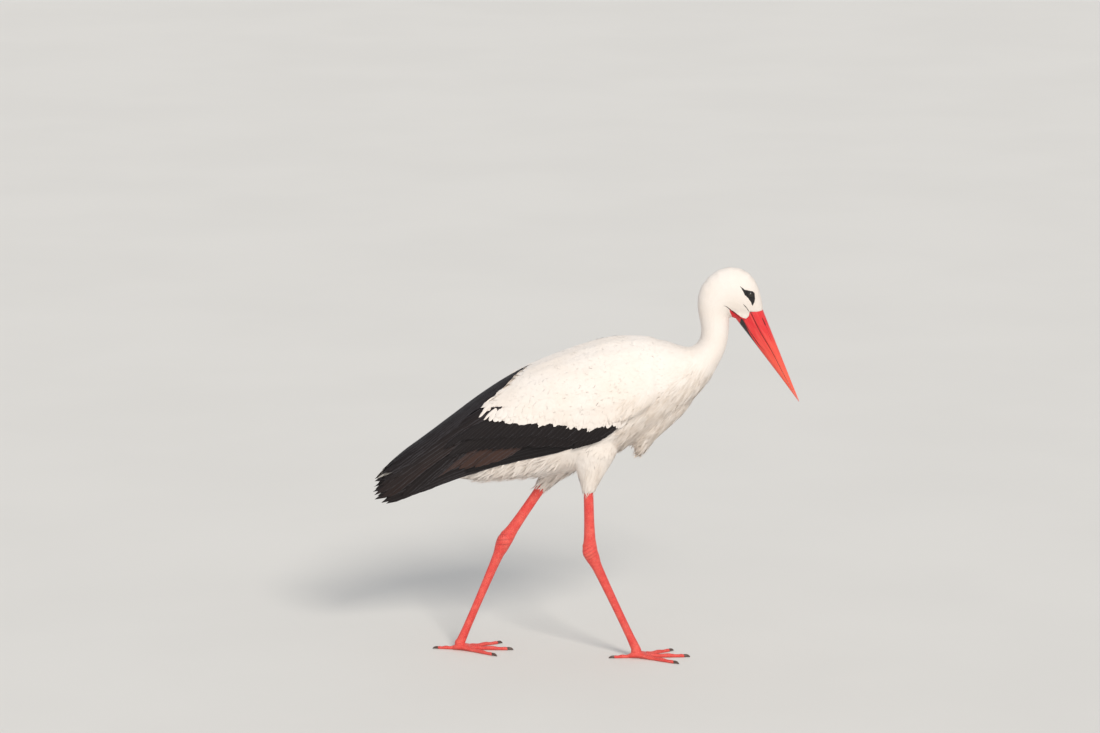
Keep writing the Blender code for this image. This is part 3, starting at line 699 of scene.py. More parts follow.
# Folds, red skin and horn at the root of the bill, as (x, leaned z).
SLIT = [(0.2893, 0.6652), (0.2935, 0.6607), (0.2970, 0.6565), (0.3003, 0.6515)]
GAPE_LINE = [(0.2535, 0.6625), (0.2600, 0.6595), (0.2648, 0.6557), (0.2760, 0.6470), (0.2844, 0.6395),
             (0.2925, 0.6325)]
GAPE_BAND = [(0.2630, 0.6588), (0.2700, 0.6542), (0.2785, 0.6470), (0.2843, 0.6428), (0.2902, 0.6390),
             (0.2979, 0.6378), (0.3060, 0.6300), (0.2900, 0.6190), (0.2785, 0.6305), (0.2700, 0.6410),
             (0.2655, 0.6495)]
HORN_EDGE = [(0.3015, 0.6515), (0.3080, 0.6505), (0.3180, 0.6510), (0.3290, 0.6540), (0.3400, 0.6300),
             (0.3000, 0.6300), (0.3008, 0.6478)]
LID_REACH = 0.0047  # the skin is open this far round the middle of an eye
SHARPEN = -0.52  # share of the step back after a smoothing step, so that shapes keep their size


def leaned(points):
    """Heights of points as the outlines on the face give them."""
    return points[:, 2] - FACE_LEAN * np.abs(points[:, 1])


def eye_at(side):
    """The middle of one eye."""
    return Vector((EYE.x, side * EYE.y, EYE.z))


def line_distance(x, z, line):
    """Distance to an open line of (x, z) points."""
    line = np.asarray(line)
    p = np.stack([x, z], -1)[:, None]
    a, edge = line[:-1], np.diff(line, axis=0)
    t = np.clip(((p - a) * edge).sum(-1) / (edge ** 2).sum(-1), 0, 1)
    return np.linalg.norm(p - (a + edge * t[..., None]), axis=-1).min(1)


def eye_frame(points, side):
    """How far points stand out along an eye's axis, and how far they are from it."""
    centre = np.array(eye_at(side))
    look = np.array(EYE_LOOK[side])
    out = (points - centre) @ look
    return out, np.linalg.norm(points - centre - out[:, None] * look, axis=1)


def hug_eyes(points, radius):
    """Lays the skin on each eyeball as lids, and sinks it behind the opening."""
    points = points.copy()
    for side in SIDES.values():
        look = np.array(EYE_LOOK[side])
        out, away = eye_frame(points, side)
        near = (away < 0.013) & (out > 0) & (points[:, 1] * side > 0.004)
        lid = np.sqrt(np.maximum((radius + 0.0006) ** 2 - np.minimum(away, radius * 0.92) ** 2, 0))
        share = 1 - smoothstep(0.0058, 0.0105, away)
        target = out * (1 - share) + lid * share
        sunk = np.sqrt(np.maximum(radius ** 2 - away ** 2, 0)) - 0.0018
        target = np.where(away < LID_REACH, sunk, target)
        points[near] += look * (target - out)[near, None]
    return points


def face_marks(points):
    """Marks on the skin of the face: bare black, and bare red under the cheek."""
    x, seen = points[:, 0], leaned(points)
    side = np.abs(points[:, 1]) > 0.008
    bare = (1 - smoothstep(-0.0004, 0.0004, patch_distance(x, seen, EYE_PATCH))) * side
    red = 1 - smoothstep(-0.0004, 0.0004, patch_distance(x, seen, GAPE_BAND))
    return bare, red


def pulled(items, key, width, kind=float):
    """One value of every item of a mesh, in rows of `width` numbers."""
    values = np.empty(len(items) * width, kind)
    items.foreach_get(key, values)
    return values.reshape(-1, width)


class Skin:
    """The skin as a surface that feathers are rooted in and follow."""

    def __init__(self, obj):
        mesh = obj.data
        mesh.calc_loop_triangles()
        self.points = pulled(mesh.vertices, "co", 3)
        self.normals = pulled(mesh.vertices, "normal", 3)
        self.triangles = pulled(mesh.loop_triangles, "vertices", 3, int)
        self.uv = pulled(mesh.uv_layers["OFBake"].data, "uv", 2)[pulled(mesh.loop_triangles, "loops", 3, int)]
        a, b, c = (self.points[self.triangles[:, k]] for k in range(3))
        self.area = np.linalg.norm(np.cross(b - a, c - a), axis=1) / 2
        self.tree = BVHTree.FromPolygons(self.points.tolist(), self.triangles.tolist())

    def shares(self, places, index):
        """How much each corner of a triangle counts at a place on it."""
        a, b, c = (self.points[self.triangles[index, k]] for k in range(3))
        n = np.cross(b - a, c - a)
        n2 = np.maximum((n ** 2).sum(1), 1e-20)
        u = (np.cross(c - b, places - b) * n).sum(1) / n2
        v = (np.cross(a - c, places - c) * n).sum(1) / n2
        w = np.clip(np.stack([u, v, 1 - u - v], 1), 0, 1)
        return w / w.sum(1, keepdims=True)

    def nearest(self, places):
        """The nearest places on the skin, and its normals there."""
        found = [self.tree.find_nearest(Vector(p)) for p in places]
        at = np.array([f[0] for f in found])
        index = np.array([f[2] for f in found])
        w = self.shares(at, index)
        return at, unit((self.normals[self.triangles[index]] * w[..., None]).sum(1)), index

    def scatter(self, spacing, keep, rng):
        """Evenly strewn places where `keep` allows, `spacing` apart, with their normals and unwrap."""
        middle = self.points[self.triangles].mean(1)
        allowed = keep(middle)
        gap = spacing(middle)
        wanted = np.where(allowed, self.area * 5.0 / gap ** 2, 0)
        count = np.floor(wanted + rng.random(len(wanted))).astype(int)
        index = np.repeat(np.arange(len(count)), count)
        index = index[rng.permutation(len(index))]
        r1, r2 = np.sqrt(rng.random(len(index))), rng.random(len(index))
        w = np.stack([1 - r1, r1 * (1 - r2), r1 * r2], 1)
        places = (self.points[self.triangles[index]] * w[..., None]).sum(1)
        normals = unit((self.normals[self.triangles[index]] * w[..., None]).sum(1))
        near = KDTree(len(places))
        for k, p in enumerate(places):
            near.insert(p, k)
        near.balance()
        gap = spacing(places)
        taken = np.zeros(len(places), bool)
        chosen = []
        for k, p in enumerate(places):
            if not taken[k]:
                chosen.append(k)
                for _, other, _ in near.find_range(p, gap[k]):
                    taken[other] = True
        chosen = np.array(chosen)
        uv = (self.uv[index[chosen]] * w[chosen][..., None]).sum(1)
        return places[chosen], normals[chosen], uv

    def follow(self, places, normals, flow, lengths, rows, free=1.0):
        """Paths over the skin along the lie; past an edge, or the share `free`, they run on straight."""
        heading = flow(places)
        heading = unit(heading - normals * (heading * normals).sum(1)[:, None])
        path, ups, ways = [places], [normals], [heading]
        loose = np.zeros(len(places), bool)
        for k in range(1, rows):
            ahead = path[-1] + heading * (lengths / (rows - 1))[:, None]
            up = ups[-1]
            if k / (rows - 1) <= free + 1e-6:
                found, found_up, _ = self.nearest(ahead)
                loose |= (found_up * up).sum(1) < 0.72
                ahead = np.where(loose[:, None], ahead, found)
                up = np.where(loose[:, None], up, found_up)
            turn = unit(0.5 * heading + 0.5 * flow(ahead))
            heading = np.where(loose[:, None], heading, unit(turn - up * (turn * up).sum(1)[:, None]))
            path.append(ahead)
            ups.append(up)
            ways.append(heading)
        return np.stack(path, 1), np.stack(ups, 1), np.stack(ways, 1)


SKIN = {}  # the skin, from the time it is made


def make_skin():
    """One closed skin over the solids of flesh, drawn in by the depth of the coat, with lids at the eyes."""
    _, sizes = settings()
    parts = [solid_of(node, SWELL) for node in FLESH]
    for side in SIDES.values():
        parts.append(ball(eye_at(side), (sizes.eye_radius,) * 3))
        parts.append(ball((0.2830, side * 0.0150, 0.6515), (0.0125, 0.0042, 0.0085)))
        parts.append(ball((0.2915, side * 0.0140, 0.6465), (0.0088, 0.0036, 0.0080)))
    points, faces = fused(*join(parts), sizes.skin_voxel)
    edges = edges_of(faces)
    for _ in range(7):
        points = relaxed(points, edges, 1, 0.50)
        points = relaxed(points, edges, 1, SHARPEN)
    points = relaxed(points, edges, 3, 0.5, smoothstep(0.26, 0.20, points[:, 0]))
    bend = np.exp(-((points[:, 0] - 0.118) / 0.030) ** 2) * smoothstep(0.42, 0.45, points[:, 2])
    rear = smoothstep(-0.165, -0.185, points[:, 0]) * (points[:, 2] > 0.44)
    points = relaxed(points, edges, 26, 0.5, np.maximum(bend, rear))
    bib = smoothstep(0.072, 0.095, points[:, 0]) * smoothstep(0.520, 0.490, points[:, 2])
    points = relaxed(points, edges, 16, 0.5, bib)
    points = points - point_normals(points, faces) * coat_depth(points)[:, None]
    obj = mesh_object("skin_body", points, faces)
    work = bmesh.new()
    work.from_mesh(obj.data)
    cheeks = [Vector((0.280, side * 0.014, 0.652)) for side in SIDES.values()]
    fine = [*map(eye_at, SIDES.values()), *cheeks]
    for reach in (0.030, 0.0165):
        near = [e for e in work.edges
                if any(((e.verts[0].co + e.verts[1].co) / 2 - place).length < reach for place in fine)]
        bmesh.ops.subdivide_edges(work, edges=near, cuts=1, use_grid_fill=True)
        bmesh.ops.triangulate(work, faces=[f for f in work.faces if len(f.verts) > 4])
    work.to_mesh(obj.data)
    work.free()
    faces = [tuple(p.vertices) for p in obj.data.polygons]
    points = np.array([v.co for v in obj.data.vertices])
    head = 1 - smoothstep(0.030, 0.050, np.linalg.norm(points - np.array((0.296, 0, 0.670)), axis=1))
    points = relaxed(points, edges_of(faces), 4, 0.5, head)
    points = hug_eyes(points, sizes.eye_radius)
    under_horn = 1 - smoothstep(-0.0010, 0.0008, patch_distance(points[:, 0], leaned(points), HORN_EDGE))
    points[:, 1] *= 1 - 0.30 * under_horn * (points[:, 0] > 0.29)
    obj.data.vertices.foreach_set("co", points.ravel())
    obj.data.update()
    bare, red = face_marks(points)
    attribute(obj.data, "bare", bare)
    attribute(obj.data, "gape", red)
    stained = 0.5 * smoothstep(0.13, 0.19, points[:, 0]) * smoothstep(0.53, 0.46, points[:, 2])
    attribute(obj.data, "stained", stained)
    unwrap(obj)
    dress(obj, bare_skin_material(), FLESH)
    SKIN["surface"] = Skin(obj)
    return obj


def unwrap(obj):
    """Gives a piece an unwrap of its own shape."""
    obj.data.uv_layers.new(name="OFBake")
    bpy.context.view_layer.objects.active = obj
    for other in bpy.context.selected_objects:
        other.select_set(False)
    obj.select_set(True)
    bpy.ops.object.mode_set(mode="EDIT")
    bpy.ops.mesh.select_all(action="SELECT")
    bpy.ops.uv.smart_project(angle_limit=math.radians(66), island_margin=0.002)
    bpy.ops.object.mode_set(mode="OBJECT")
    obj.select_set(False)


# ---- vanes --------------------------------------------------------------------------------
BAKE_PATCH = 0.003  # side of the patch of the skin's unwrap that a vane takes


def vane_mesh(name, grids, marks, uvs):
    """One mesh of many vanes from grids (count, rows, columns, 3), with marks and an unwrap by root."""
    count, rows, columns, _ = grids.shape
    mesh = bpy.data.meshes.new(name)
    points = grids.reshape(-1, 3)
    per = rows * columns
    r, c = np.meshgrid(np.arange(rows - 1), np.arange(columns - 1), indexing="ij")
    first = r * columns + c
    quad = np.stack([first, first + 1, first + columns + 1, first + columns], -1).reshape(-1, 4)
    faces = (quad[None] + (np.arange(count) * per)[:, None, None]).reshape(-1, 4)
    mesh.vertices.add(len(points))
    mesh.vertices.foreach_set("co", points.ravel())
    mesh.loops.add(faces.size)
    mesh.loops.foreach_set("vertex_index", faces.ravel())
    mesh.polygons.add(len(faces))
    mesh.polygons.foreach_set("loop_start", np.arange(len(faces)) * 4)
    mesh.update(calc_edges=True)
    mesh.shade_smooth()
    across = np.broadcast_to(np.linspace(0, 1, columns)[None, None, :], (count, rows, columns))
    along = np.broadcast_to(np.linspace(0, 1, rows)[None, :, None], (count, rows, columns))
    own = np.stack([across, along], -1)
    patch = np.clip(uvs[:, None, None, :] + BAKE_PATCH * (own - 0.5), 0, 1)
    for key, uv in (("OFBake", patch), ("vane", own)):
        mesh.uv_layers.new(name=key).data.foreach_set("uv", uv.reshape(-1, 2)[faces.ravel()].ravel())
    for key, value in marks.items():
        value = np.asarray(value, float)
        value = np.broadcast_to(value[:, None, None] if value.ndim == 1 else value, (count, rows, columns))
        attribute(mesh, key, value.ravel())
    made = bpy.data.objects.new(name, mesh)
    bpy.context.scene.collection.objects.link(made)
    return made


def feather_grid(path, ups, ways, half_width, columns, outline, lift, cup, rng, fray=0.0, shaft=0.0):
    """Points of vanes: outline gives the width along, lift the height, cup how far the edges turn down."""
    count, rows, _ = path.shape
    s = np.linspace(0, 1, rows)
    across = np.linspace(-1, 1, columns)
    side = unit(np.cross(ups, ways))
    width = half_width[:, None] * outline(s)[None]
    rise = np.broadcast_to(lift(s), (count, rows))
    turned = cup * (width[:, :, None] * across[None, None]) ** 2 / np.maximum(half_width, 1e-4)[:, None, None]
    shape = rise[:, :, None] - turned
    shape = shape + shaft * np.exp(-(across * 6) ** 2)[None, None]
    grid = (path[:, :, None] + side[:, :, None] * (width[:, :, None] * across[None, None])[..., None]
            + ups[:, :, None] * shape[..., None])
    if fray:
        reach = np.linalg.norm(path[:, 1] - path[:, 0], axis=1)[:, None, None] * (rows - 1)
        ragged = rng.normal(0, fray, (count, 1, columns)) * (s ** 3)[None, :, None]
        rounding = -0.10 * (across ** 2)[None, None] * (s ** 2)[None, :, None]
        grid += ways[:, :, None] * (reach * (ragged + rounding))[..., None]
    return grid


def contour_outline(s):
    """Width of a body feather: narrow root, broad middle, rounded end."""
    return np.interp(s, [0, 0.15, 0.45, 0.75, 0.92, 1.0], [0.35, 0.65, 1.0, 0.95, 0.62, 0.25])


def lobe_outline(s):
    """Width of a broad covert with a blunt, rounded end."""
    return np.interp(s, [0, 0.25, 0.6, 0.85, 0.94, 1.0], [0.55, 0.90, 1.0, 0.86, 0.66, 0.34])


def lance_outline(s):
    """Width of a long pointed plume."""
    return np.interp(s, [0, 0.2, 0.5, 0.8, 1.0], [0.5, 1.0, 0.85, 0.45, 0.04])


# Length, width and spacing of the white feathers at steps along the middle line.
SIZE_AT = [0.0, 2.0, 4.0, 6.0, 8.0, 9.5, 11.0, 13.0, 15.0]
LENGTH_AT = [0.0040, 0.0062, 0.0095, 0.0130, 0.0190, 0.0270, 0.0330, 0.0350, 0.0330]
WIDTH_AT = [0.0015, 0.0019, 0.0026, 0.0034, 0.0054, 0.0085, 0.0115, 0.0125, 0.0120]
GAP_AT = [0.0011, 0.0013, 0.0016, 0.0021, 0.0032, 0.0046, 0.0056, 0.0060, 0.0060]


def by_place(points, table):
    """A size from one of the tables above, smaller on the thighs."""
    at = along_body(points)
    value = np.interp(at, SIZE_AT, table)
    thigh, _ = on_thigh(points)
    return value * (1 - 0.45 * thigh)


FALL = np.array((-0.42, 0.0, -0.91))  # the way that feathers droop on the breast and over the wing's edge
BESIDE_BLACK = np.array((-0.745, 0.0, -0.667))  # the way they lie along the upper border of the black


def coat_flow(points):
    """The lie of the body's feathers: tail-wards, drooping on the breast and flanks, down the thighs."""
    x, _, z = points.T
    flow = body_flow(points)
    at = along_body(points)
    middle = np.interp(at, SPINE_AT, SPINE_LINE[:, 2])
    below = smoothstep(0.02, -0.09, z - middle) * smoothstep(8.2, 9.6, at)
    flow = flow * (1 - 0.55 * below)[:, None] + FALL * (0.55 * below)[:, None]
    zone = wing_zone(points) == 1
    near_edge = smoothstep(0.075, 0.0, z - height_on(COVERT_EDGE, x)) * smoothstep(-0.16, -0.06, x)
    fallen = unit(flow) * (1 - 0.75 * near_edge)[:, None] + FALL * (0.75 * near_edge)[:, None]
    flow = np.where(zone[:, None], fallen, flow)
    beside = zone & (x < -0.095)
    beside = 0.9 * beside * smoothstep(0.034, 0.004, height_on(TERTIAL_EDGE, x) - z)
    flow = unit(flow) * (1 - beside)[:, None] + BESIDE_BLACK * beside[:, None]
    thigh, down = on_thigh(points)
    return unit(unit(flow) * (1 - thigh)[:, None] + down * thigh[:, None])


def swung(lie, normals, swing):
    """A lie in which each feather is turned aside by its own swing."""
    def flow(points):
        way = lie(points)
        return unit(way + np.cross(normals, way) * swing[:, None])
    return flow


def white_piece(name, grid, uv, nodes, tone, warm):
    """White vanes as one piece, each with its tone and its warmth."""
    obj = vane_mesh(name, grid, {"tone": tone, "warm": warm}, uv)
    return dress(obj, white_feather_material(), nodes)


def white_coat(name, keep, seed, nodes, columns=3, rows=5, scale=1.0, gap=1.0, fray=0.05, stain=None,
               outline=contour_outline, slim=1.0):
    """A tract of small white feathers rooted where `keep` allows."""
    skin = SKIN["surface"]
    rng = dice(seed)
    places, normals, uv = skin.scatter(lambda p: by_place(p, GAP_AT) * gap, keep, dice(seed))
    count = len(places)
    jitter = rng.normal(1, 0.12, count).clip(0.7, 1.4)
    lengths = by_place(places, LENGTH_AT) * jitter * scale
    for side, leg in LEGS.items():
        over = (on_thigh(places)[0] > 0.5) & (places[:, 1] * SIDES[side] > 0)
        room = np.maximum(places[:, 2] - leg.cuff.z, 0) + 0.009
        lengths = np.where(over, np.minimum(lengths, room), lengths)
    widths = by_place(places, WIDTH_AT) * rng.normal(1, 0.08, count).clip(0.8, 1.2) * scale
    widths *= np.interp(places[:, 0], [-0.150, -0.115], [min(slim, 1.0), slim])
    flow = swung(coat_flow, normals, rng.normal(0, 0.10, count))
    path, ups, ways = skin.follow(places, normals, flow, lengths, rows)
    high = coat_depth(places) * rng.uniform(0.96, 1.04, count)

    def lift(s):
        return 0.0001 + high[:, None] * np.interp(s, [0, 0.72, 1.0], [0.05, 1.0, 0.84])[None]

    grid = feather_grid(path, ups, ways, widths / 2, columns, outline, lift, 0.13, rng, fray)
    tone = rng.random(count)
    return white_piece(name, grid, uv, nodes, tone, stain(places, rng) if stain else np.zeros(count))


def loose_coat(name, nodes, seed, keep, spacing, draw, lie, warm, base, rows=9, free=0.45, columns=3,
               cup=0.3):
    """Long loose feathers; `draw` gives their lengths, swings, heights at the tip and half widths."""
    skin = SKIN["surface"]
    rng = dice(seed)
    places, normals, uv = skin.scatter(spacing, keep, dice(seed))
    lengths, swing, high, half = draw(places, rng)
    path, ups, ways = skin.follow(places, normals, swung(lie, normals, swing), lengths, rows, free)

    def lift(s):
        return base + high[:, None] * np.sin(s * math.pi / 2)[None]

    grid = feather_grid(path, ups, ways, half, columns, lance_outline, lift, cup, rng, 0.03)
    tone = rng.random(len(places))
    return white_piece(name, grid, uv, nodes, tone, np.clip(warm(places, rng), 0, 1))


# ---- eyes, bill and legs ------------------------------------------------------------------
CORNEA = 0.0006  # how far the clear front of an eye stands out


def finish_bare(obj, node):
    """Gives a lid the look of bare black skin, and a fold the same black as painted shade."""
    for key, value in (("bare", 1.0), ("gape", 0.0), ("stained", 0.0)):
        attribute(obj.data, key, np.full(len(obj.data.vertices), value))
    unwrap(obj)
    dress(obj, bpy.data.materials["skin"], [node])


def make_face_folds():
    """Thin black tubes laid in the skin's folds as painted shade: one on each cheek and one at each corner of
    the mouth.
    """
    tree = SKIN["surface"].tree
    for name, side in SIDES.items():
        for kind, line in (("cheek_fold", SLIT), ("mouth_fold", GAPE_LINE)):
            inwards = Vector((0, -side, -FACE_LEAN)).normalized()
            centres = []
            for x, seen in through(line, np.linspace(0, len(line) - 1, 60)):
                hit, normal, _, _ = tree.ray_cast(Vector((x, side * 0.1, seen + 0.02)), inwards)
                if hit and hit.y * side > 0.002:
                    centres.append(hit + normal * 0.0001)
            share = np.linspace(0, 1, len(centres))
            slim = 0.00075 * np.clip(np.minimum(share / 0.3, (1 - share) / 0.2), 0.08, 1) ** 0.7
            points = tube(centres, slim, np.full(len(centres), 0.00060), 12)
            # Each fold is a black tube standing for the shade in the crease.
            finish_bare(mesh_object("%s_%s" % (kind, name), points, ring_faces(len(centres), 12)), "head")


def make_eyes():
    """Two glossy eyeballs, each in a ring of bare black lid."""
    for name, side in SIDES.items():
        look = EYE_LOOK[side]
        level = Vector((look.y, -look.x, 0)).normalized() * -side
        axes = look, level, look.cross(level).normalized()
        make_eyeball(name, eye_at(side), *axes)
        make_eyelid(name, eye_at(side), *axes)


def make_eyeball(name, centre, look, level, upright):
    """A ball in rings about its axis, with a slightly raised clear front."""
    radius = settings()[1].eye_radius
    rings, turns = 40, 64
    points, reach, turn = [centre + look * (radius + CORNEA)], [0.0], [0.0]
    for r in range(1, rings):
        polar = 0.5 * math.pi * 1.3 * r / rings
        for k in range(turns):
            angle = 2 * math.pi * k / turns
            flat = radius * math.sin(polar)
            bulge = CORNEA * math.exp(-(flat / 0.0042) ** 2)
            points.append(centre + look * (radius * math.cos(polar) + bulge)
                          + (level * math.cos(angle) + upright * math.sin(angle)) * flat)
            reach.append(flat if polar < math.pi / 2 else radius)
            turn.append(math.cos(angle * 3) + angle)
    faces = [(0, 1 + k, 1 + (k + 1) % turns) for k in range(turns)]
    faces += ring_faces(rings - 1, turns, 1, caps=False)
    last = 1 + (rings - 2) * turns
    faces.append(tuple(last + k for k in range(turns)))
    eye = mesh_object("eyeball_" + name, points, faces)
    attribute(eye.data, "from_axis", reach)
    attribute(eye.data, "round_axis", turn)
    unwrap(eye)
    dress(eye, bpy.data.materials.get("eye") or eye_material(), ["eye_" + name])


def make_eyelid(name, centre, look, level, upright):
    """A thin ring that lies on the eyeball."""
    radius = settings()[1].eye_radius
    points, faces, wide, sides = [], [], 72, 12
    for k in range(wide):
        angle = 2 * math.pi * k / wide
        open_out = 0.0050 * (1 + 0.07 * math.cos(2 * angle)) + 0.0005 * max(0.0, math.cos(angle)) ** 6
        thick = 0.00055 + 0.00006 * math.sin(angle * 9)
        way = level * math.cos(angle) + upright * math.sin(angle)
        seat = centre + way * open_out + look * (math.sqrt(radius ** 2 - open_out ** 2) + 0.0001)
        outward = (seat - centre).normalized()
        along = (way - outward * way.dot(outward)).normalized()
        for j in range(sides):
            t = 2 * math.pi * j / sides
            points.append(seat + outward * math.sin(t) * thick + along * math.cos(t) * thick * 1.5)
            a, b, after = k * sides, (k + 1) % wide * sides, (j + 1) % sides
            faces.append((a + j, a + after, b + after, b + j))
    finish_bare(mesh_object("eyelid_" + name, points, faces), "eye_" + name)


def bill_rows(at):
    """Ridge, mouth, crease, underside and half width along the bill; before 0 it runs on into the head."""
    rows = np.array([[*ridge, *mouth, *crease, *under, half] for ridge, mouth, crease, under, half in BILL])
    rows = np.vstack([2 * rows[0] - rows[1], rows])
    found = through(rows, np.asarray(at) + 1)
    return found[:, 0:2], found[:, 2:4], found[:, 4:6], found[:, 6:8], found[:, 8]


def both_sides(values):
    """Half rings, run on in mirrored order to the other side."""
    return np.concatenate([values, values[:, ::-1][:, 1:]], 1)


def make_horn(name, centre, width, at, shade_lines, bare, node):
    """A horn from half sections along its middle plane, mirrored into closed rings, with its marks."""
    width = np.maximum(width, 0)
    half = np.stack([centre[..., 0], -width, centre[..., 1]], -1)
    rings = both_sides(half)
    sides = rings.shape[1]
    rings[:, half.shape[1]:, 1] *= -1
    obj = mesh_object(name, rings.reshape(-1, 3), ring_faces(len(at), sides))
    # The first mark is painted shade in the horn's slits, grooves and creases.
    attribute(obj.data, "shade_lines", both_sides(np.clip(shade_lines, 0, 1)).ravel())
    attribute(obj.data, "gape", both_sides(bare).ravel())
    unwrap(obj)
    loops = pulled(obj.data.loops, "vertex_index", 1, int)[:, 0]
    own = np.broadcast_arrays(np.linspace(0, 1, sides)[None], np.clip(at / 4, 0, 1)[:, None])
    own = np.stack(own, -1).reshape(-1, 2)
    obj.data.uv_layers.new(name="vane").data.foreach_set("uv", own[loops].ravel())
    obj.data.uv_layers["OFBake"].active = True
    dress(obj, bpy.data.materials.get("bill horn") or bill_material(), [node])


def bell(value, middle, spread):
    """1 at the middle, falling smoothly to 0 on both sides."""
    return np.exp(-((value - middle) / spread) ** 2)


def make_bill():
    """Upper and lower horn, with nostrils, cutting edges and the folded skin under the chin."""
    at = np.concatenate([np.linspace(-0.45, 3.7, 150), np.linspace(3.72, 4.0, 18)])
    ridge, mouth, crease, under, half = bill_rows(at)
    half = np.where(at < 0, half[np.searchsorted(at, 0.0)] * (1 + 0.1 * at), half)
    v = np.linspace(0, 1, 30)[None]
    u = at[:, None]
    width = half[:, None] * (1 - v ** 2.3) ** 0.56 * (0.93 + 0.07 * smoothstep(0, 0.10, v))
    nostril_at = 0.70 + 0.05 * (u - 0.6)
    slit = bell(v, nostril_at, 0.030) * smoothstep(0.30, 0.40, u) * (1 - smoothstep(0.72, 0.84, u))
    sulcus = bell(v, nostril_at, 0.045) * smoothstep(0.15, 0.45, u) * (1 - smoothstep(1.0, 2.1, u))
    rim = bell(v - nostril_at + 0.085, 0, 0.035) * smoothstep(0.38, 0.48, u) * (1 - smoothstep(0.74, 0.86, u))
    width = width - 0.0015 * slit - 0.0006 * sulcus + 0.0004 * rim
    centre = mouth[:, None] + (ridge - mouth)[:, None] * v[..., None]
    # Painted shade in the nostril slit and its groove, and along the mouth line.
    shade_lines = np.maximum(slit * 1.2, bell(v, 0, 0.028) * 0.6) + 0.25 * sulcus
    make_horn("upper_bill", centre, width, at, shade_lines, 0 * shade_lines, "bill_upper")
    fold = 0.60
    chin = smoothstep(2.05, 1.55, u)
    mouth = mouth + unit(under - mouth) * 0.0005
    upper_part = mouth[:, None] + (crease - mouth)[:, None] * np.clip(v / fold, 0, 1)[..., None]
    lower_part = (under - crease)[:, None] * np.clip((v - fold) / (1 - fold), 0, 1)[..., None]
    plain = mouth[:, None] + (under - mouth)[:, None] * v[..., None]
    centre = (upper_part + lower_part) * chin[..., None] + plain * (1 - chin)[..., None]
    ledge = 0.95 - 0.16 * (v / fold) ** 2 + 0.04 * bell(v, 0.10, 0.07)
    pouch = 0.66 * np.sqrt(np.clip(1 - ((v - fold) / (1 - fold)) ** 2, 0, 1)) - 0.10 * bell(v, fold, 0.04)
    plain_width = 0.96 * (1 - v ** 2.2) ** 0.56 + 0.04 * bell(v, 0.12, 0.07)
    width = half[:, None] * (np.where(v <= fold, ledge, pouch) * chin + plain_width * (1 - chin))
    # Painted shade in the crease under the chin, and along the mouth line.
    shade_lines = bell(v, fold, 0.035) * chin + bell(v, 0, 0.03) * 0.55
    bare_from = fold + (1.02 - fold) * np.clip((u - 0.3) / 1.6, 0, 1) ** 1.3
    bare_to = np.interp(u, [-0.1, 0.05, 0.45], [fold, fold + 0.12, 1.1])
    bare = smoothstep(bare_from - 0.03, bare_from + 0.02, v) * smoothstep(bare_to + 0.02, bare_to - 0.03, v)
    make_horn("lower_bill", centre, width, at, shade_lines, bare * (u < 1.95), "bill_lower")


# Lengths of leg as (share of the way down, radius fore and aft, radius across).
SHANK = [(0.0, 0.0090, 0.0076), (0.5, 0.0095, 0.0078), (0.78, 0.0109, 0.0088), (0.92, 0.0133, 0.0103),
         (1.0, 0.0144, 0.0111)]
TARSUS = [(0.0, 0.0144, 0.0111), (0.06, 0.0129, 0.0105), (0.13, 0.0100, 0.0084), (0.25, 0.0087, 0.0070),
          (0.55, 0.0075, 0.0062), (0.85, 0.0075, 0.0064), (0.95, 0.0083, 0.0073), (1.0, 0.0087, 0.0081)]
# Foot between the toes as (distance ahead of its middle, half width, height).
PAD = [(-0.013, 0.006, 0.008), (-0.007, 0.009, 0.012), (0.001, 0.011, 0.0135), (0.009, 0.0145, 0.012),
       (0.018, 0.0192, 0.0095)]
GROOVE = 0.00028  # depth of the creases between scales


def limb(start, end, table, low, high):
    """A smooth length of leg between two joints, from share `low` to share `high`."""
    shares = np.linspace(low, high, 60)
    rows = np.array(table)
    at = np.interp(shares, rows[:, 0], np.arange(len(rows)))
    radii = through(rows[:, 1:], at)
    centres = np.array(start) + shares[:, None] * np.array(end - start)
    points = tube(centres, radii[:, 0], radii[:, 1], 28)
    return points, ring_faces(60, 28)


def toe_way(toe, name):
    """Which way a toe of the named leg points."""
    yaw = math.radians(LEGS[name].turn + TOES[toe][0] * SIDES[name])
    return Vector((math.cos(yaw), math.sin(yaw), 0))


ANKLE_KNOBS = 0.0037  # each knob of an ankle stands this far to its side


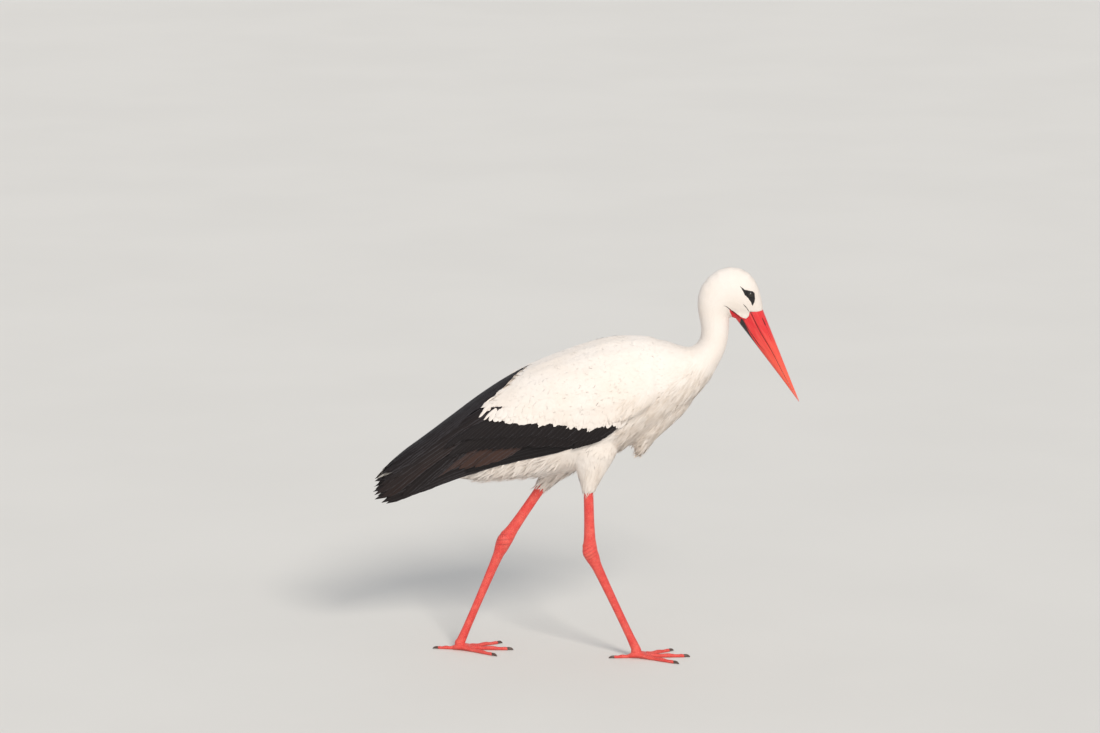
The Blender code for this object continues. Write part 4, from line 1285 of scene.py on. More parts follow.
def leg_solids(name):
    """Overlapping closed pieces of a bare leg: shank, ankle, shin, pad and toes."""
    _, cuff, ankle, foot, turn = LEGS[name]
    shin = (foot - ankle).normalized()
    shank = (ankle - cuff).normalized()
    back = Vector((-1, 0, 0))
    base = Vector((foot.x, foot.y, 0))
    parts = [limb(cuff, ankle, SHANK, -0.16, 1.0), limb(ankle, foot, TARSUS, 0.0, 1.0)]
    parts += [ball(centre, radii) for centre, radii in (
        (ankle + Vector((0, ANKLE_KNOBS, 0)), (0.0137, 0.0088, 0.0146)),
        (ankle - Vector((0, ANKLE_KNOBS, 0)), (0.0137, 0.0088, 0.0146)),
        (ankle - shank * 0.010 + back * 0.0015, (0.0124, 0.0094, 0.0138)),
        (ankle + shin * 0.010 + Vector((0.0022, 0, 0)), (0.0104, 0.0092, 0.0108)),
        (ankle + shin * 0.020 + back * 0.0048, (0.0048, 0.0056, 0.0115)),
        (base + Vector((-0.001, 0, 0.0125)), (0.0098, 0.0088, 0.0100)))]
    ahead = Vector((math.cos(math.radians(turn)), math.sin(math.radians(turn)), 0))
    left = Vector((-ahead.y, ahead.x, 0))
    rings = []
    for reach, half, height in through(PAD, np.linspace(0, 4, 17)):
        for k in range(20):
            t = 2 * math.pi * k / 20
            rings.append(base + ahead * reach + left * half * math.cos(t)
                         + Vector((0, 0, height * (0.5 + 0.5 * math.sin(t)))))
    parts.append((np.array(rings), ring_faces(17, 20)))
    for toe, (_, reach, radius) in TOES.items():
        way = toe_way(toe, name)
        shares = np.linspace(0, 1, 40)
        size = radius * (1.0 - 0.34 * shares) * (1.0 + 0.10 * np.cos(2 * math.pi * 3 * shares))
        size[-3:] *= (0.96, 0.86, 0.60)
        along = -0.004 + (reach + 0.004) * shares
        centres = np.array(base) + np.array(way) * along[:, None]
        centres = centres + np.array((0, 0, 1)) * (size * 0.92)[:, None]
        parts.append((tube(centres, size * 0.92, size, 18, (-way.y, way.x, 0)), ring_faces(40, 18)))
    return parts


def leg_creases(name, points, normals):
    """0 to 1 between scales: square ones down the shin, bars on the toes, folds round the ankle."""
    _, cuff, ankle, foot, _ = LEGS[name]
    drop = np.array(foot - ankle)
    share = ((points - np.array(ankle)) @ drop) / (drop @ drop)
    front = smoothstep(-0.2, 0.5, normals[:, 0])
    shin_part = smoothstep(0.05, 0.12, share) * smoothstep(1.0, 0.93, share)
    row = share * np.linalg.norm(drop) / 0.0062
    turn_in = points[:, 1] / 0.0058 + 0.5 * (np.floor(row) % 2)
    bars = np.maximum(np.cos(row * 2 * math.pi) ** 16, np.cos(turn_in * 2 * math.pi) ** 16)
    crease = np.maximum(0.45 * (bars * front * shin_part), 0)
    for toe, (_, reach, radius) in TOES.items():
        way = np.array(toe_way(toe, name))
        rel = points - np.array((foot.x, foot.y, 0))
        out = rel @ way
        off = np.abs(rel @ np.array((-way[1], way[0], 0)))
        mine = smoothstep(0.012, 0.020, out) * (off < radius * 1.6) * (out < reach + 0.001)
        mine = mine * smoothstep(0.2, 0.7, normals[:, 2])
        crease = np.maximum(crease, mine * np.abs(np.cos(out * math.pi / 0.0036)) ** 18 * 0.8)
    near = points - np.array(ankle)
    fold = np.abs(np.sin((near @ np.array((ankle - cuff).normalized())) * 420 + near[:, 0] * 260)) ** 14
    behind = smoothstep(-0.3, 0.4, -normals[:, 0] * 0.6 + np.abs(normals[:, 1]))
    fold *= np.exp(-(np.linalg.norm(near, axis=1) / 0.017) ** 4) * behind
    return np.maximum(crease, 0.9 * fold)


def make_leg(name):
    """Bare shank, knobbly ankle, scaled shin and toes in one skin."""
    points, faces = fused(*join(leg_solids(name)), settings()[1].leg_voxel)
    edges = edges_of(faces)
    for _ in range(5):
        points = relaxed(points, edges, 1, 0.5)
        points = relaxed(points, edges, 1, SHARPEN)
    normals = point_normals(points, faces)
    crease = leg_creases(name, points, normals)
    off_floor = points[:, 2] > 0.0005
    points = points - normals * (crease * GROOVE)[:, None]
    points[:, 2] = np.maximum(points[:, 2], 0)
    obj = mesh_object("leg_" + name, points, faces)
    # The crease mask also paints shade into these grooves.
    attribute(obj.data, "crease", np.clip(crease * 0.8, 0, 1) * off_floor)
    unwrap(obj)
    nodes = ["shank", "tarsus", "foot", *("toe_" + toe for toe in TOES)]
    nodes = [node + "_" + name for node in nodes]
    dress(obj, bpy.data.materials.get("leg skin") or leg_material(), nodes)


def make_claws(name):
    """Four short blunt nails, each curved down to the floor."""
    foot = LEGS[name].foot
    for toe, (_, reach, radius) in TOES.items():
        way = toe_way(toe, name)
        shares = np.linspace(0, 1, 24)
        size = radius * 0.60 * np.sqrt(np.clip(1 - shares ** 2.2, 0.004, 1))
        along = reach - 0.0022 + (CLAW_LENGTH + 0.0022) * shares
        arch = size * 0.95 + radius * 0.35 * np.sin(shares * math.pi) * 0.5
        centres = np.array((foot.x, foot.y, 0)) + np.array(way) * along[:, None]
        centres = centres + np.array((0, 0, 1)) * arch[:, None]
        points = tube(centres, size * 0.95, size * 0.85, 20, (-way.y, way.x, 0))
        points[:, 2] = np.maximum(points[:, 2], 0)
        obj = mesh_object("nail_%s_%s" % (toe, name), points, ring_faces(24, 20))
        unwrap(obj)
        material = bpy.data.materials.get("claw horn") or claw_material()
        dress(obj, material, ["claw_%s_%s" % (toe, name)])


# ---- the black feathers of the wings --------------------------------------------------------
ANGLES = (-1.5, 1.62)  # where feathers may lie round the shell, from below to past the middle of the back


def wing_grid(side, xs, angles, half_width, outline, lift, tilt, columns, rng, shaft=0.0006, notch=0.10,
              cup=0.0006, point=0.10):
    """Vanes that wrap round the wing shell, each along a path of (x, angle)."""
    count, rows = xs.shape
    s = np.linspace(0, 1, rows)
    u = np.linspace(-1, 1, columns)
    centre = wing_point(xs, angles, lift, side)
    way = unit(np.gradient(centre, axis=1))
    top, middle, bottom, half = wing_oval(xs)
    reach = np.where(angles > 0, top - middle, middle - bottom)
    round_way = np.stack([0 * xs, -side * half * np.sin(angles), reach * np.cos(angles)], -1)
    step = np.maximum(np.linalg.norm(round_way, axis=-1), 0.004)
    up = unit(np.stack([0 * xs, side * reach * np.cos(angles), half * np.sin(angles)], -1))
    across = unit(np.cross(up, way))
    width = half_width[:, None] * outline(s)[None]
    off = width[..., None] * u
    nicks = 1 - notch * rng.random((count, rows, columns)) * (np.abs(u) > 0.99) * (s ** 2)[None, :, None]
    off = off * nicks
    x2 = xs[..., None] + across[..., 0:1] * off
    a2 = angles[..., None] + ((across * round_way).sum(-1) / step ** 2)[..., None] * off
    rise = lift[..., None] + tilt * u - cup * u ** 2 + shaft * np.exp(-(u * 7) ** 2)
    back = point * (u ** 2) * (s ** 3)[:, None]
    length = np.linalg.norm(centre[:, -1] - centre[:, 0], axis=-1)[:, None, None]
    x2 = x2 - way[..., 0:1] * back[None] * length
    return wing_point(x2, np.clip(a2, *ANGLES), rise, side)


QUILL_POINT = 0.045  # how far the corners of a flight feather's end are drawn back, as a share of its length


def flight_outline(s):
    """Width of a long flight feather: narrow quill, parallel webs, blunt pointed end."""
    return np.interp(s, [0, 0.10, 0.30, 0.80, 0.90, 0.96, 1.0], [0.35, 0.75, 1.0, 0.95, 0.80, 0.56, 0.14])


def round_outline(s):
    """Width of a covert with a rounded end."""
    return np.interp(s, [0, 0.2, 0.5, 0.82, 0.93, 1.0], [0.5, 0.85, 1.0, 0.88, 0.58, 0.10])


def paths_between(roots, tips, rows, sag):
    """Curved paths in side view from roots to tips, as x and z."""
    s = np.linspace(0, 1, rows)
    roots, tips = np.asarray(roots, float), np.asarray(tips, float)
    line = roots[:, None] + (tips - roots)[:, None] * s[None, :, None]
    line[..., 1] += np.asarray(sag)[:, None] * 4 * s * (1 - s)
    return line[..., 0], line[..., 1]


def shell_angles(xs, zs):
    """Angles round the shell at heights, kept off its lowest and highest lines."""
    return np.clip(wing_angle(xs, zs), -1.45, 1.45)


def skin_uv(grid):
    """The skin's unwrap at the roots of a grid of vanes."""
    skin = SKIN["surface"]
    root = grid[:, 0, grid.shape[2] // 2]
    at, _, index = skin.nearest(root)
    w = skin.shares(at, index)
    return (skin.uv[index] * w[..., None]).sum(1)


def wing_piece(name, grids, warm, material, nodes, pale=0.0):
    """Joins sets of black vanes of one kind into one piece."""
    grid = np.concatenate(grids)
    tone = np.random.default_rng(len(name)).random(len(grid))
    marks = {"tone": tone, "warm": np.broadcast_to(warm, len(grid)), "pale": pale}
    obj = vane_mesh(name, grid, marks, skin_uv(grid))
    return dress(obj, material, nodes)


def make_tertials(name):
    """The long black feathers that roof the folded wing."""
    side = SIDES[name]
    rng = dice(40 + side)
    rows, columns, count = 30, 9, 8
    share = np.linspace(0, 1, count)
    start = -0.098 - 0.02 * share
    tip = np.array([-0.366, -0.378, -0.370, -0.384, -0.3885, -0.3800, -0.392, -0.384])
    xs = start[:, None] + (tip - start)[:, None] * np.linspace(0, 1, rows)[None]
    top = np.full_like(xs, 1.50)
    low = shell_angles(xs, height_on(TERTIAL_EDGE, xs)) + 0.10
    angles = top + (low - top) * share[:, None]
    lift = -0.0012 - 0.0026 * share[:, None] + 0.0008 * np.linspace(0, 1, rows)[None]
    half = np.interp(share, [0, 0.7, 1], [0.013, 0.018, 0.014])
    grid = wing_grid(side, xs, angles, half, flight_outline, lift, 0.0010, columns, rng, notch=0.2,
                     point=QUILL_POINT)
    # Pale marks: a whitish tip on one feather, and a painted highlight along the upper edge of another.
    pale = np.zeros((count, rows, columns))
    pale[4, -2:] = 0.7
    pale[6, 6:15, 0 if side < 0 else -1] = 0.9
    material = black_feather_material("black feathers", 0.55)
    wing_piece("tertial_feathers_" + name, [grid], 0.30, material, ["tertials_" + name], pale)


def make_greater_coverts(name):
    """The black band under the white coverts: two rows of rounded feathers."""
    side = SIDES[name]
    rng = dice(50 + side)
    rows, columns = 14, 7
    grids = []
    count = 32
    for row, (rise, long, wide) in enumerate(((0.0, 0.082, 0.0105), (0.021, 0.056, 0.0095))):
        share = np.linspace(0, 1, count)
        x_tip = np.interp(share, [0, 1], [0.040 - 0.010 * row, -0.262]) + rng.normal(0, 0.0012, count)
        z_tip = np.where(x_tip > -0.030, height_on(LOWER_EDGE, x_tip), height_on(BAND_EDGE, x_tip)) + 0.0020
        z_tip = z_tip + rise * np.interp(x_tip, [-0.10, 0.02], [1.0, 0.35]) + rng.normal(0, 0.0008, count)
        slope = np.radians(np.interp(x_tip, [-0.26, -0.10, 0.04], [37, 47, 40]))
        reach = long * np.interp(x_tip, [-0.26, -0.05, 0.04], [1.25, 1.0, 0.65])
        roots = np.stack([x_tip + np.cos(slope) * reach, z_tip + np.sin(slope) * reach], -1)
        xs, zs = paths_between(roots, np.stack([x_tip, z_tip], -1), rows, np.full(count, 0.003))
        s = np.linspace(0, 1, rows)
        lift = -0.0040 + 0.0012 * row + 0.0022 * s[None] + 0 * xs
        grids.append(wing_grid(side, xs, shell_angles(xs, zs), np.full(count, wide), round_outline, lift,
                               0.0006 * -side, columns, rng, 0.0003, 0.16))
    material = black_feather_material("black feathers", 0.55)
    wing_piece("band_feathers_" + name, grids, 0.25, material, ["greater_coverts_" + name])


# Inner secondaries and primaries, as (x, z).
INNER_ROOTS = [(-0.118, 0.524), (-0.130, 0.512), (-0.142, 0.500), (-0.152, 0.488), (-0.160, 0.477),
               (-0.166, 0.467), (-0.170, 0.457)]
INNER_TIPS = [(-0.380, 0.3400), (-0.372, 0.3345), (-0.386, 0.3255), (-0.379, 0.3170), (-0.392, 0.3100),
              (-0.382, 0.3030), (-0.368, 0.3055)]
INNER_WANDER = np.array([0.0008, 0, 0.0014, -0.0012, 0.0016, -0.0006, 0.0010])
PRIMARY_TIPS = [(-0.3945, 0.3165), (-0.3860, 0.3080), (-0.3915, 0.3000), (-0.3790, 0.2925), (-0.3700, 0.2900),
                (-0.3560, 0.2950), (-0.3400, 0.3020)]


def make_flight_feathers(name):
    """Inner secondaries fanned at the rear, brown-webbed secondaries, and the primaries' tips below."""
    side = SIDES[name]
    rng = dice(60 + side)
    rows, columns = 26, 9
    grids, warms = [], []

    def lay(roots, tips, sag, half_width, base, climb, warm, tilt):
        count = len(roots)
        xs, zs = paths_between(roots, tips, rows, np.broadcast_to(sag, count))
        lift = np.linspace(*base, count)[:, None] + climb * np.linspace(0, 1, rows)[None] + 0 * xs
        half_width = np.broadcast_to(half_width, count)
        grids.append(wing_grid(side, xs, shell_angles(xs, zs), half_width, flight_outline, lift, tilt * -side,
                               columns, rng, 0.0005, 0.24, point=QUILL_POINT))
        warms.append(np.broadcast_to(warm, count))

    lay(INNER_ROOTS, INNER_TIPS, np.linspace(0.002, 0.012, 7) + INNER_WANDER, 0.0122 + INNER_WANDER,
        (-0.0036, -0.0048), 0.0014, np.linspace(0.25, 0.5, 7), 0.0008)
    browns = 13
    tip_x = np.linspace(-0.345, -0.160, browns) + rng.normal(0, 0.002, browns)
    tips = np.stack([tip_x, height_on(LOWER_EDGE, tip_x) + np.linspace(0.008, 0.013, browns)], -1)
    roots = tips + np.linspace((0.100, 0.096), (0.085, 0.062), browns)
    warm = np.where(tip_x < -0.292, 0.2, rng.uniform(1.0, 2.0, browns))
    lay(roots, tips, 0.004, 0.0115, (-0.0056, -0.0072), 0.0012, warm, 0.0013)
    strips = 6
    tip_x = np.linspace(-0.225, -0.100, strips)
    tips = np.stack([tip_x, height_on(LOWER_EDGE, tip_x) + np.tile([0.0035, 0.0110], strips // 2)], -1)
    roots = tips + np.linspace((0.190, 0.050), (0.120, 0.036), strips)
    lay(roots, tips, 0.006, 0.0110, (-0.0080, -0.0100), 0.0012, 0.12, 0.0005)
    fan = np.linspace(0, 1, 7)[:, None]
    roots = np.array((-0.205, 0.405)) * (1 - fan) + np.array((-0.150, 0.378)) * fan
    lay(roots, PRIMARY_TIPS, np.linspace(0.002, 0.008, 7), 0.0135, (-0.0088, -0.0104), 0.0042, 0.2, 0.0009)
    material = black_feather_material("flight feathers", 0.75)
    wing_piece("flight_vanes_" + name, grids, np.concatenate(warms), material, ["flight_feathers_" + name])


def make_tail():
    """Twelve white tail feathers, closed into a narrow fan under the wing tips."""
    rng = dice(80)
    count, rows, columns = 12, 16, 7
    fan = np.linspace(-1, 1, count)
    s = np.linspace(0, 1, rows)
    x = -0.195 + (-0.367 + 0.195) * s[None] * (1 - 0.05 * np.abs(fan))[:, None]
    behind = [0.20, 0.25, 0.30, 0.345, 0.368]
    spread = np.interp(-x, behind, [0.032, 0.030, 0.025, 0.017, 0.009])
    z = np.interp(-x, behind, [0.4400, 0.4080, 0.3765, 0.3460, 0.3295])
    order = 1 - np.abs(fan)
    path = np.stack([x, fan[:, None] * spread, z - 0.0040 * (1 - order)[:, None] - 0.001], -1)
    ways = unit(np.gradient(path, axis=1))
    ups = unit(np.cross(ways, np.array((0, 1.0, 0))))
    ups = ups * np.sign(ups[..., 2:3])
    grid = feather_grid(path, ups, ways, np.full(count, 0.0100), columns, flight_outline, lambda s: 0 * s,
                        0.10, rng, 0.01, 0.0004)
    white_piece("tail_feathers", grid, skin_uv(grid), ["tail"], rng.random(count), np.full(count, 0.1))


# ---- the white tracts ---------------------------------------------------------------------
def bare_face(points):
    """Where the face carries no feathers."""
    x, seen = points[:, 0], leaned(points)
    bare, red = face_marks(points)
    horn_bare = (patch_distance(x, seen, HORN_EDGE) < 0) & (x > 0.295)
    found = (bare > 0.5) | (red > 0.5) | horn_bare
    for line in (SLIT, GAPE_LINE):
        found |= (line_distance(x, seen, line) < 0.0008) & (np.abs(points[:, 1]) > 0.008)
    for side in SIDES.values():
        out, away = eye_frame(points, side)
        found |= (away < 0.0068) & (out > 0)
    return found


def feather_reach(points):
    """From root to tip of the feathers at some places."""
    return coat_flow(points) * by_place(points, LENGTH_AT)[:, None]


def clear_of_face(points):
    """Off the eyes, the bare skin, the bill and the mouth's folds, with the whole feather."""
    ridge = bill_rows(np.array([0.0, 1.0]))[0]
    ahead = (points[:, [0, 2]] - ridge[0]) @ unit(ridge[1] - ridge[0])
    reach = feather_reach(points)
    clear = ahead < 0.0015
    for share in (0, 0.5, 1.0):
        clear &= ~bare_face(points + reach * share)
    return clear


def clear_of_black(points):
    """Where a white feather's body would not cover the black of the wing, nor lie under it."""
    x, y, z = points.T
    zone = wing_zone(points)
    notch = (np.abs(y) > 0.04) & (patch_distance(x, z, NOTCH) < 0.0040)
    top, centre, bottom, half = wing_oval(x)
    inside = np.hypot(y / half, (z - centre) / np.where(z > centre, top - centre, centre - bottom)) < 0.90
    under = inside & (x < 0.040) & (z > height_on(LOWER_EDGE, x) + 0.012)
    return (zone != 2) & ~notch & ~under & ((x > -0.204) | (z < 0.395))


def off_wing_black(points):
    """Roots whose feathers clear the black of the wing with their whole length."""
    reach = feather_reach(points)
    clear = clear_of_black(points) & ((points[:, 0] > -0.196) | (points[:, 2] < 0.345))
    for share in (0.5, 0.75, 1.0):
        clear &= clear_of_black(points + reach * share)
    return clear


def is_upper(points):
    """The back and the white part of the wings, against the underside."""
    line = np.interp(points[:, 0], [-0.20, -0.05, 0.05, 0.13, 0.20], [0.430, 0.445, 0.455, 0.500, 0.560])
    return points[:, 2] > line


def tract(low, high, test=None):
    """A test for roots between two steps of the middle line, off the thighs and the black."""
    def keep(points):
        at = along_body(points)
        thigh, _ = on_thigh(points)
        chosen = (at >= low) & (at < high) & (thigh < 0.5) & off_wing_black(points)
        return chosen if test is None else chosen & test(points)
    return keep


def make_face_coat():
    """The smallest feathers, on the face and the crown."""
    white_coat("coat_face", tract(-1, 3.4, clear_of_face), 1, ["head"], rows=4, fray=0.05, slim=1.25)


def make_crown_coat():
    """Short feathers over the crown and the nape."""
    white_coat("coat_crown", tract(3.4, 5.6), 2, ["head", "neck_upper"], rows=5, slim=1.25)


def make_neck_coat():
    """Longer feathers down the neck, faintly stained at its foot."""
    def stain(places, rng):
        low = smoothstep(0.60, 0.50, places[:, 2]) * smoothstep(0.14, 0.21, places[:, 0])
        return np.clip(0.55 * low * rng.random(len(places)) + 0.15 * low, 0, 1)

    white_coat("coat_neck", tract(5.6, 9.0), 3, ["neck_upper", "neck_lower"], rows=6, stain=stain, slim=1.20)


def make_back_coat():
    """The back, the scapulars and the white coverts of both wings."""
    white_coat("coat_back", tract(9.0, 16.0, is_upper), 4, ["trunk", "coverts_right", "coverts_left"],
               columns=5, rows=8, gap=0.89, fray=0.04, slim=1.22)


def make_covert_edge():
    """The last rows of white coverts, whose rounded ends scallop the black of the wing."""
    rng = dice(7)
    count, rows, columns = 27, 9, 7
    s = np.linspace(0, 1, rows)
    grids = []
    for side in SIDES.values():
        for row, rise in enumerate((0.0, 0.010)):
            x_tip = np.linspace(0.064, -0.199, count) - 0.0065 * row + rng.normal(0, 0.0030, count)
            z_tip = height_on(COVERT_EDGE, x_tip) + rise + rng.uniform(-0.0035, 0.0035, count)
            clear = patch_distance(x_tip, z_tip, NOTCH) > 0.005
            clear &= z_tip < height_on(TERTIAL_EDGE, x_tip) - 0.006
            x_tip, z_tip = x_tip[clear], z_tip[clear]
            slope = np.interp(x_tip, [-0.195, -0.17, -0.10, 0.00, 0.06], [42, 64, 58, 74, 62])
            slope = np.radians(slope + rng.normal(0, 5, len(x_tip)))
            reach = np.interp(x_tip, [-0.19, -0.165, -0.14, 0.0, 0.07], [0.034, 0.016, 0.030, 0.030, 0.022])
            tips = np.stack([x_tip, z_tip], -1)
            roots = tips + np.stack([np.cos(slope) * reach, np.sin(slope) * reach], -1)
            xs, zs = paths_between(roots, tips, rows, np.full(len(tips), 0.001))
            lift = -0.0022 + 0.0026 * s[None] + 0.0002 * row + 0 * xs
            half = rng.uniform(0.0055, 0.0090, len(tips)) * np.interp(x_tip, [-0.185, -0.160], [0.62, 1.0])
            grids.append(wing_grid(side, xs, shell_angles(xs, zs), half, lobe_outline, lift, 0.0, columns,
                                   rng, 0.0, 0.20, 0.0008))
    grid = np.concatenate(grids)
    white_piece("coat_wing_edge", grid, skin_uv(grid), ["coverts_right", "coverts_left"],
                rng.random(len(grid)), np.zeros(len(grid)))


def make_belly_coat():
    """The breast, flanks, belly and vent."""
    def under(points):
        bib = (points[:, 0] > 0.078) & (points[:, 2] < 0.430)
        return ~is_upper(points) & ~bib

    def stain(places, rng):
        front = smoothstep(0.06, 0.16, places[:, 0])
        return np.clip((0.30 * front + 0.10) * rng.random(len(places)) + 0.12 * front, 0, 1)

    white_coat("coat_belly", tract(9.0, 16.0, under), 5, ["trunk", "vent"], 3, 8, 1.05, 0.56, 0.05, stain,
               lance_outline, 0.46)


def make_thigh_coat():
    """Narrow feathers down both thighs, to the cuffs."""
    def keep(points):
        thigh, _ = on_thigh(points)
        return (thigh >= 0.5) & (points[:, 2] > 0.320)

    white_coat("coat_thighs", keep, 6, ["thigh_right", "thigh_left"], 3, 8, 1.05, 0.50, 0.04, None,
               lance_outline, 0.55)


BIB_TIP = np.array((0.0950, 0.0, 0.3660))  # where the lowest plumes meet


def make_breast_plumes():
    """Long narrow plumes that hang from the foot of the neck, over the bib below the breast."""
    def keep(points):
        x, _, z = points.T
        line = np.interp(x, [0.085, 0.125, 0.165, 0.215], [0.425, 0.455, 0.485, 0.530])
        return (x > 0.084) & (z < line) & (z > 0.392)

    def draw(places, rng):
        count = len(places)
        lengths = rng.uniform(0.036, 0.068, count)
        away = np.linalg.norm(places - BIB_TIP, axis=1)
        lengths = np.minimum(lengths, away * rng.uniform(0.62, 0.96, count))
        swing = rng.normal(0, 0.05, count)
        fringe = smoothstep(0.440, 0.405, places[:, 2]) * smoothstep(0.105, 0.125, places[:, 0])
        high = rng.uniform(0.0016, 0.0038, count) * (1 + 1.6 * fringe)
        return lengths, swing, high, rng.uniform(0.0016, 0.0032, count)

    def lie(points):
        way = unit(np.array((-0.64, 0.0, -0.77)) + 0.35 * coat_flow(points))
        home = 0.75 * smoothstep(0.430, 0.385, points[:, 2])[:, None]
        return way * (1 - home) + unit(BIB_TIP - points) * home

    def warm(places, rng):
        return 0.14 + 0.34 * smoothstep(0.52, 0.39, places[:, 2]) + rng.normal(0, 0.16, len(places))

    loose_coat("breast_plume_coat", ["breast_plumes"], 90, keep, lambda p: np.full(len(p), 0.0034), draw, lie,
               warm, 0.0004, 10, 0.70, 5, 0.35)


def make_flank_tufts():
    """Loose tufts that hang from the flanks over the thighs, and under the tail."""
    def before_leg(points):
        x, y, z = points.T
        return (x > -0.082) & (x < -0.020) & (z > 0.322) & (z < 0.385) & (y > 0.014)

    def keep(points):
        x, y, z = points.T
        beside = (z > 0.335) & (np.abs(y) > 0.018)
        return (x > -0.185) & (x < 0.035) & (z < 0.395) & (beside | before_leg(points))

    def draw(places, rng):
        count = len(places)
        over_leg = on_thigh(places + np.array((0.0, 0.0, -0.020)))[0] * (places[:, 1] < 0)
        longer = np.where(before_leg(places), 1.25, 1.0)
        lengths = rng.uniform(0.026, 0.046, count) * longer * (1 - 0.25 * over_leg)
        clump = 0.5 + 0.5 * np.sin(places[:, 0] * 260 + np.sin(places[:, 1] * 190) * 1.6)
        swing = (rng.normal(0, 0.16, count) + 0.25 * np.cos(places[:, 0] * 260)) * (1 - 0.6 * over_leg)
        high = (0.0020 + 0.0040 * clump * rng.uniform(0.6, 1.0, count)) * (1 - 0.60 * over_leg)
        return lengths, swing, high, rng.uniform(0.0015, 0.0028, count) * (1 - 0.50 * over_leg)

    def lie(points):
        return unit(coat_flow(points) * 0.5 + np.array((-0.60, 0.0, -0.80)) * 0.5)

    def warm(places, rng):
        return 0.10 + rng.normal(0, 0.12, len(places))

    loose_coat("flank_tuft_coat", ["trunk", "vent"], 97, keep,
               lambda p: np.where(before_leg(p), 0.0042, 0.0044), draw, lie, warm, 0.0006)


def make_breast_streaks():
    """Longer, looser feathers over the foot of the neck and the upper breast."""
    def keep(points):
        x, y, z = points.T
        at = along_body(points)
        middle = np.interp(at, SPINE_AT, SPINE_LINE[:, 2])
        bib = (z < 0.428) & (x > 0.080) & (np.abs(y) < 0.045)
        front = (at > 7.4) & (x > 0.080) & (z < middle + 0.010) & (z > 0.395)
        return front & ~bib & (on_thigh(points)[0] < 0.3)

    def draw(places, rng):
        count = len(places)
        lengths = np.interp(places[:, 2], [0.39, 0.46, 0.58], [0.030, 0.052, 0.036])
        lengths = lengths * rng.uniform(0.75, 1.15, count)
        swing = rng.normal(0, 0.12, count)
        high = rng.uniform(0.0016, 0.0034, count)
        return lengths, swing, high, rng.uniform(0.0016, 0.0029, count)

    def lie(points):
        return unit(coat_flow(points) * 0.55 + np.array((-0.55, 0.0, -0.83)) * 0.45)

    def warm(places, rng):
        return 0.15 + 0.35 * smoothstep(0.55, 0.42, places[:, 2]) + rng.normal(0, 0.18, len(places))

    loose_coat("breast_streak_coat", ["neck_lower", "trunk"], 95, keep, lambda p: np.full(len(p), 0.0036),
               draw, lie, warm, 0.0005, free=0.85)


# ---- the stage ----------------------------------------------------------------------------
CAMERA_HEIGHT = math.radians(11.3)
CAMERA_REACH = 9.0
CAMERA_AIM = Vector((-0.0662, 0.0, 0.548))
CAMERA_VIEW = 2.035  # width of the view at the bird, in metres
FILM_WIDTH = 36.0
SKY, SKY_STRENGTH = (0.91, 0.945, 1.0), 0.62
# Lamps: the way towards them, energy, width in degrees, tint.
LAMPS = {
    "key": ((0.30, -0.80, 0.60), 2.20, 16.0, (1.0, 0.955, 0.88)),
    "fill": ((-0.20, -0.95, 0.00), 0.85, 60.0, (1.0, 0.96, 0.91)),
}


def floor_material():
    """Dull pale studio floor."""
    c, _ = settings()
    n = Nodes("studio floor")
    grain = n.noise(140.0, 3.0)
    cloud = n.span(n.noise(1.6, 3.0), 0.3, 0.7, 0.0, 0.35)
    base = n.mix(cloud, c.floor, tuple(0.93 * v for v in c.floor))
    return n.finish(base, 0.85, n.bump(grain, 0.05, 0.001), Specular_IOR_Level=0.2)


def make_stage():
    """Pale floor, soft light and the camera."""
    ground = [(-30, -25, 0), (30, -25, 0), (30, 60, 0), (-30, 60, 0)]
    floor = mesh_object("floor", ground, [(0, 1, 2, 3)], smooth=False)
    floor.data.materials.append(floor_material())
    scene = bpy.context.scene
    world = scene.world or bpy.data.worlds.new("studio")
    scene.world = world
    world.use_nodes = True
    back = world.node_tree.nodes["Background"]
    back.inputs["Color"].default_value = (*SKY, 1.0)
    back.inputs["Strength"].default_value = SKY_STRENGTH
    for name, (way, energy, angle, tint) in LAMPS.items():
        light = bpy.data.lights.new(name, "SUN")
        light.energy = energy
        light.angle = math.radians(angle)
        light.color = tint
        lamp = bpy.data.objects.new(name, light)
        lamp.rotation_euler = Vector(way).to_track_quat("Z", "Y").to_euler()
        scene.collection.objects.link(lamp)
    camera = bpy.data.cameras.new("camera")
    camera.sensor_width = FILM_WIDTH
    camera.lens = FILM_WIDTH * CAMERA_REACH / CAMERA_VIEW
    camera.clip_end = 200.0
    view = bpy.data.objects.new("camera", camera)
    towards = Vector((0, -math.cos(CAMERA_HEIGHT), math.sin(CAMERA_HEIGHT)))
    view.location = CAMERA_AIM + towards * CAMERA_REACH
    view.rotation_euler = (math.pi / 2 - CAMERA_HEIGHT, 0, 0)
    scene.collection.objects.link(view)
    scene.camera = view
    scene.view_settings.view_transform = "Standard"
    scene.view_settings.look = "None"


# ---- operators and panel ------------------------------------------------------------------
class StorkStage(bpy.types.Operator):
    """Add the floor, the lights and the camera"""

    bl_idname = "stork.stage"
    bl_label = "Stage"

    def execute(self, context):
        make_stage()
        return {"FINISHED"}


class StorkSkin(bpy.types.Operator):
    """Join the solids of the body into one skin"""

    bl_idname = "stork.skin"
    bl_label = "Skin"

    def execute(self, context):
        make_skin()
        return {"FINISHED"}


class StorkEyes(bpy.types.Operator):
    """Add the eyes and their lids"""

    bl_idname = "stork.eyes"
    bl_label = "Eyes"

    def execute(self, context):
        make_eyes()
        make_face_folds()
        return {"FINISHED"}


class StorkBill(bpy.types.Operator):
    """Add the upper and the lower bill"""

    bl_idname = "stork.bill"
    bl_label = "Bill"

    def execute(self, context):
        make_bill()
        return {"FINISHED"}


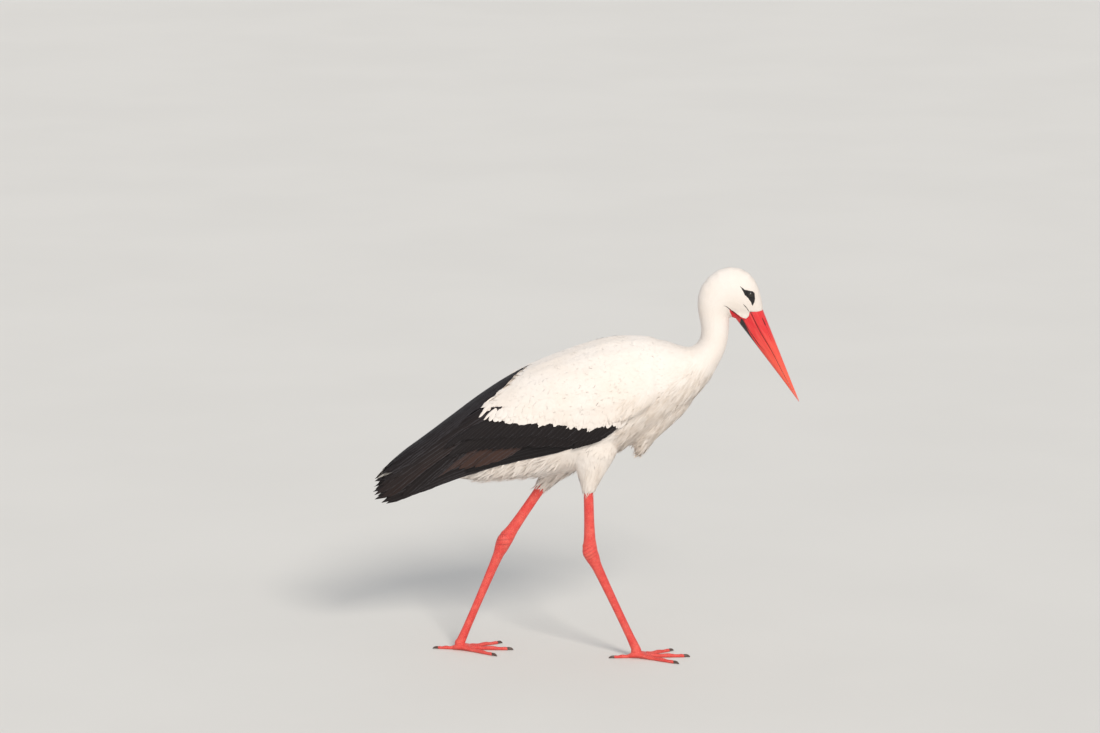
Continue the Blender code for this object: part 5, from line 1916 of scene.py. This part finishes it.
class StorkLegs(bpy.types.Operator):
    """Add the bare legs, feet and claws"""

    bl_idname = "stork.legs"
    bl_label = "Legs"

    def execute(self, context):
        for name in LEGS:
            make_leg(name)
            make_claws(name)
        return {"FINISHED"}


class StorkHeadCoat(bpy.types.Operator):
    """Feather the face, the crown and the neck"""

    bl_idname = "stork.head_coat"
    bl_label = "Head and neck feathers"

    def execute(self, context):
        make_face_coat()
        make_crown_coat()
        make_neck_coat()
        return {"FINISHED"}


class StorkBodyCoat(bpy.types.Operator):
    """Feather the back, the belly, the thighs and the breast"""

    bl_idname = "stork.body_coat"
    bl_label = "Body feathers"

    def execute(self, context):
        make_back_coat()
        make_covert_edge()
        make_belly_coat()
        make_thigh_coat()
        make_flank_tufts()
        make_breast_streaks()
        make_breast_plumes()
        return {"FINISHED"}


class StorkWings(bpy.types.Operator):
    """Lay the black feathers of the folded wings, and the tail"""

    bl_idname = "stork.wings"
    bl_label = "Wing and tail feathers"

    def execute(self, context):
        for name in SIDES:
            make_flight_feathers(name)
            make_greater_coverts(name)
            make_tertials(name)
        make_tail()
        return {"FINISHED"}


STEPS = (StorkStage, StorkSkin, StorkEyes, StorkBill, StorkLegs, StorkHeadCoat, StorkBodyCoat, StorkWings)


class StorkPanel(bpy.types.Panel):
    """The steps that build the stork, and its sizes and colours"""

    bl_idname = "VIEW3D_PT_stork"
    bl_label = "Walking white stork"
    bl_space_type = "VIEW_3D"
    bl_region_type = "UI"
    bl_category = "Stork"

    def draw(self, context):
        layout = self.layout
        for group in (context.scene.stork_sizes, context.scene.stork_colours):
            column = layout.column(align=True)
            for name in group.bl_rna.properties.keys():
                if name not in ("rna_type", "name"):
                    column.prop(group, name)
        column = layout.column(align=True)
        for step in STEPS:
            column.operator(step.bl_idname)


CLASSES = (StorkColours, StorkSizes, *STEPS, StorkPanel)


def register():
    for kind in CLASSES:
        bpy.utils.register_class(kind)
    bpy.types.Scene.stork_colours = PointerProperty(type=StorkColours)
    bpy.types.Scene.stork_sizes = PointerProperty(type=StorkSizes)


def unregister():
    del bpy.types.Scene.stork_sizes
    del bpy.types.Scene.stork_colours
    for kind in reversed(CLASSES):
        bpy.utils.unregister_class(kind)


def main():
    """Registers the add-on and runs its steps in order."""
    register()
    for step in STEPS:
        group, name = step.bl_idname.split(".")
        getattr(getattr(bpy.ops, group), name)()


if __name__ == "__main__":
    main()
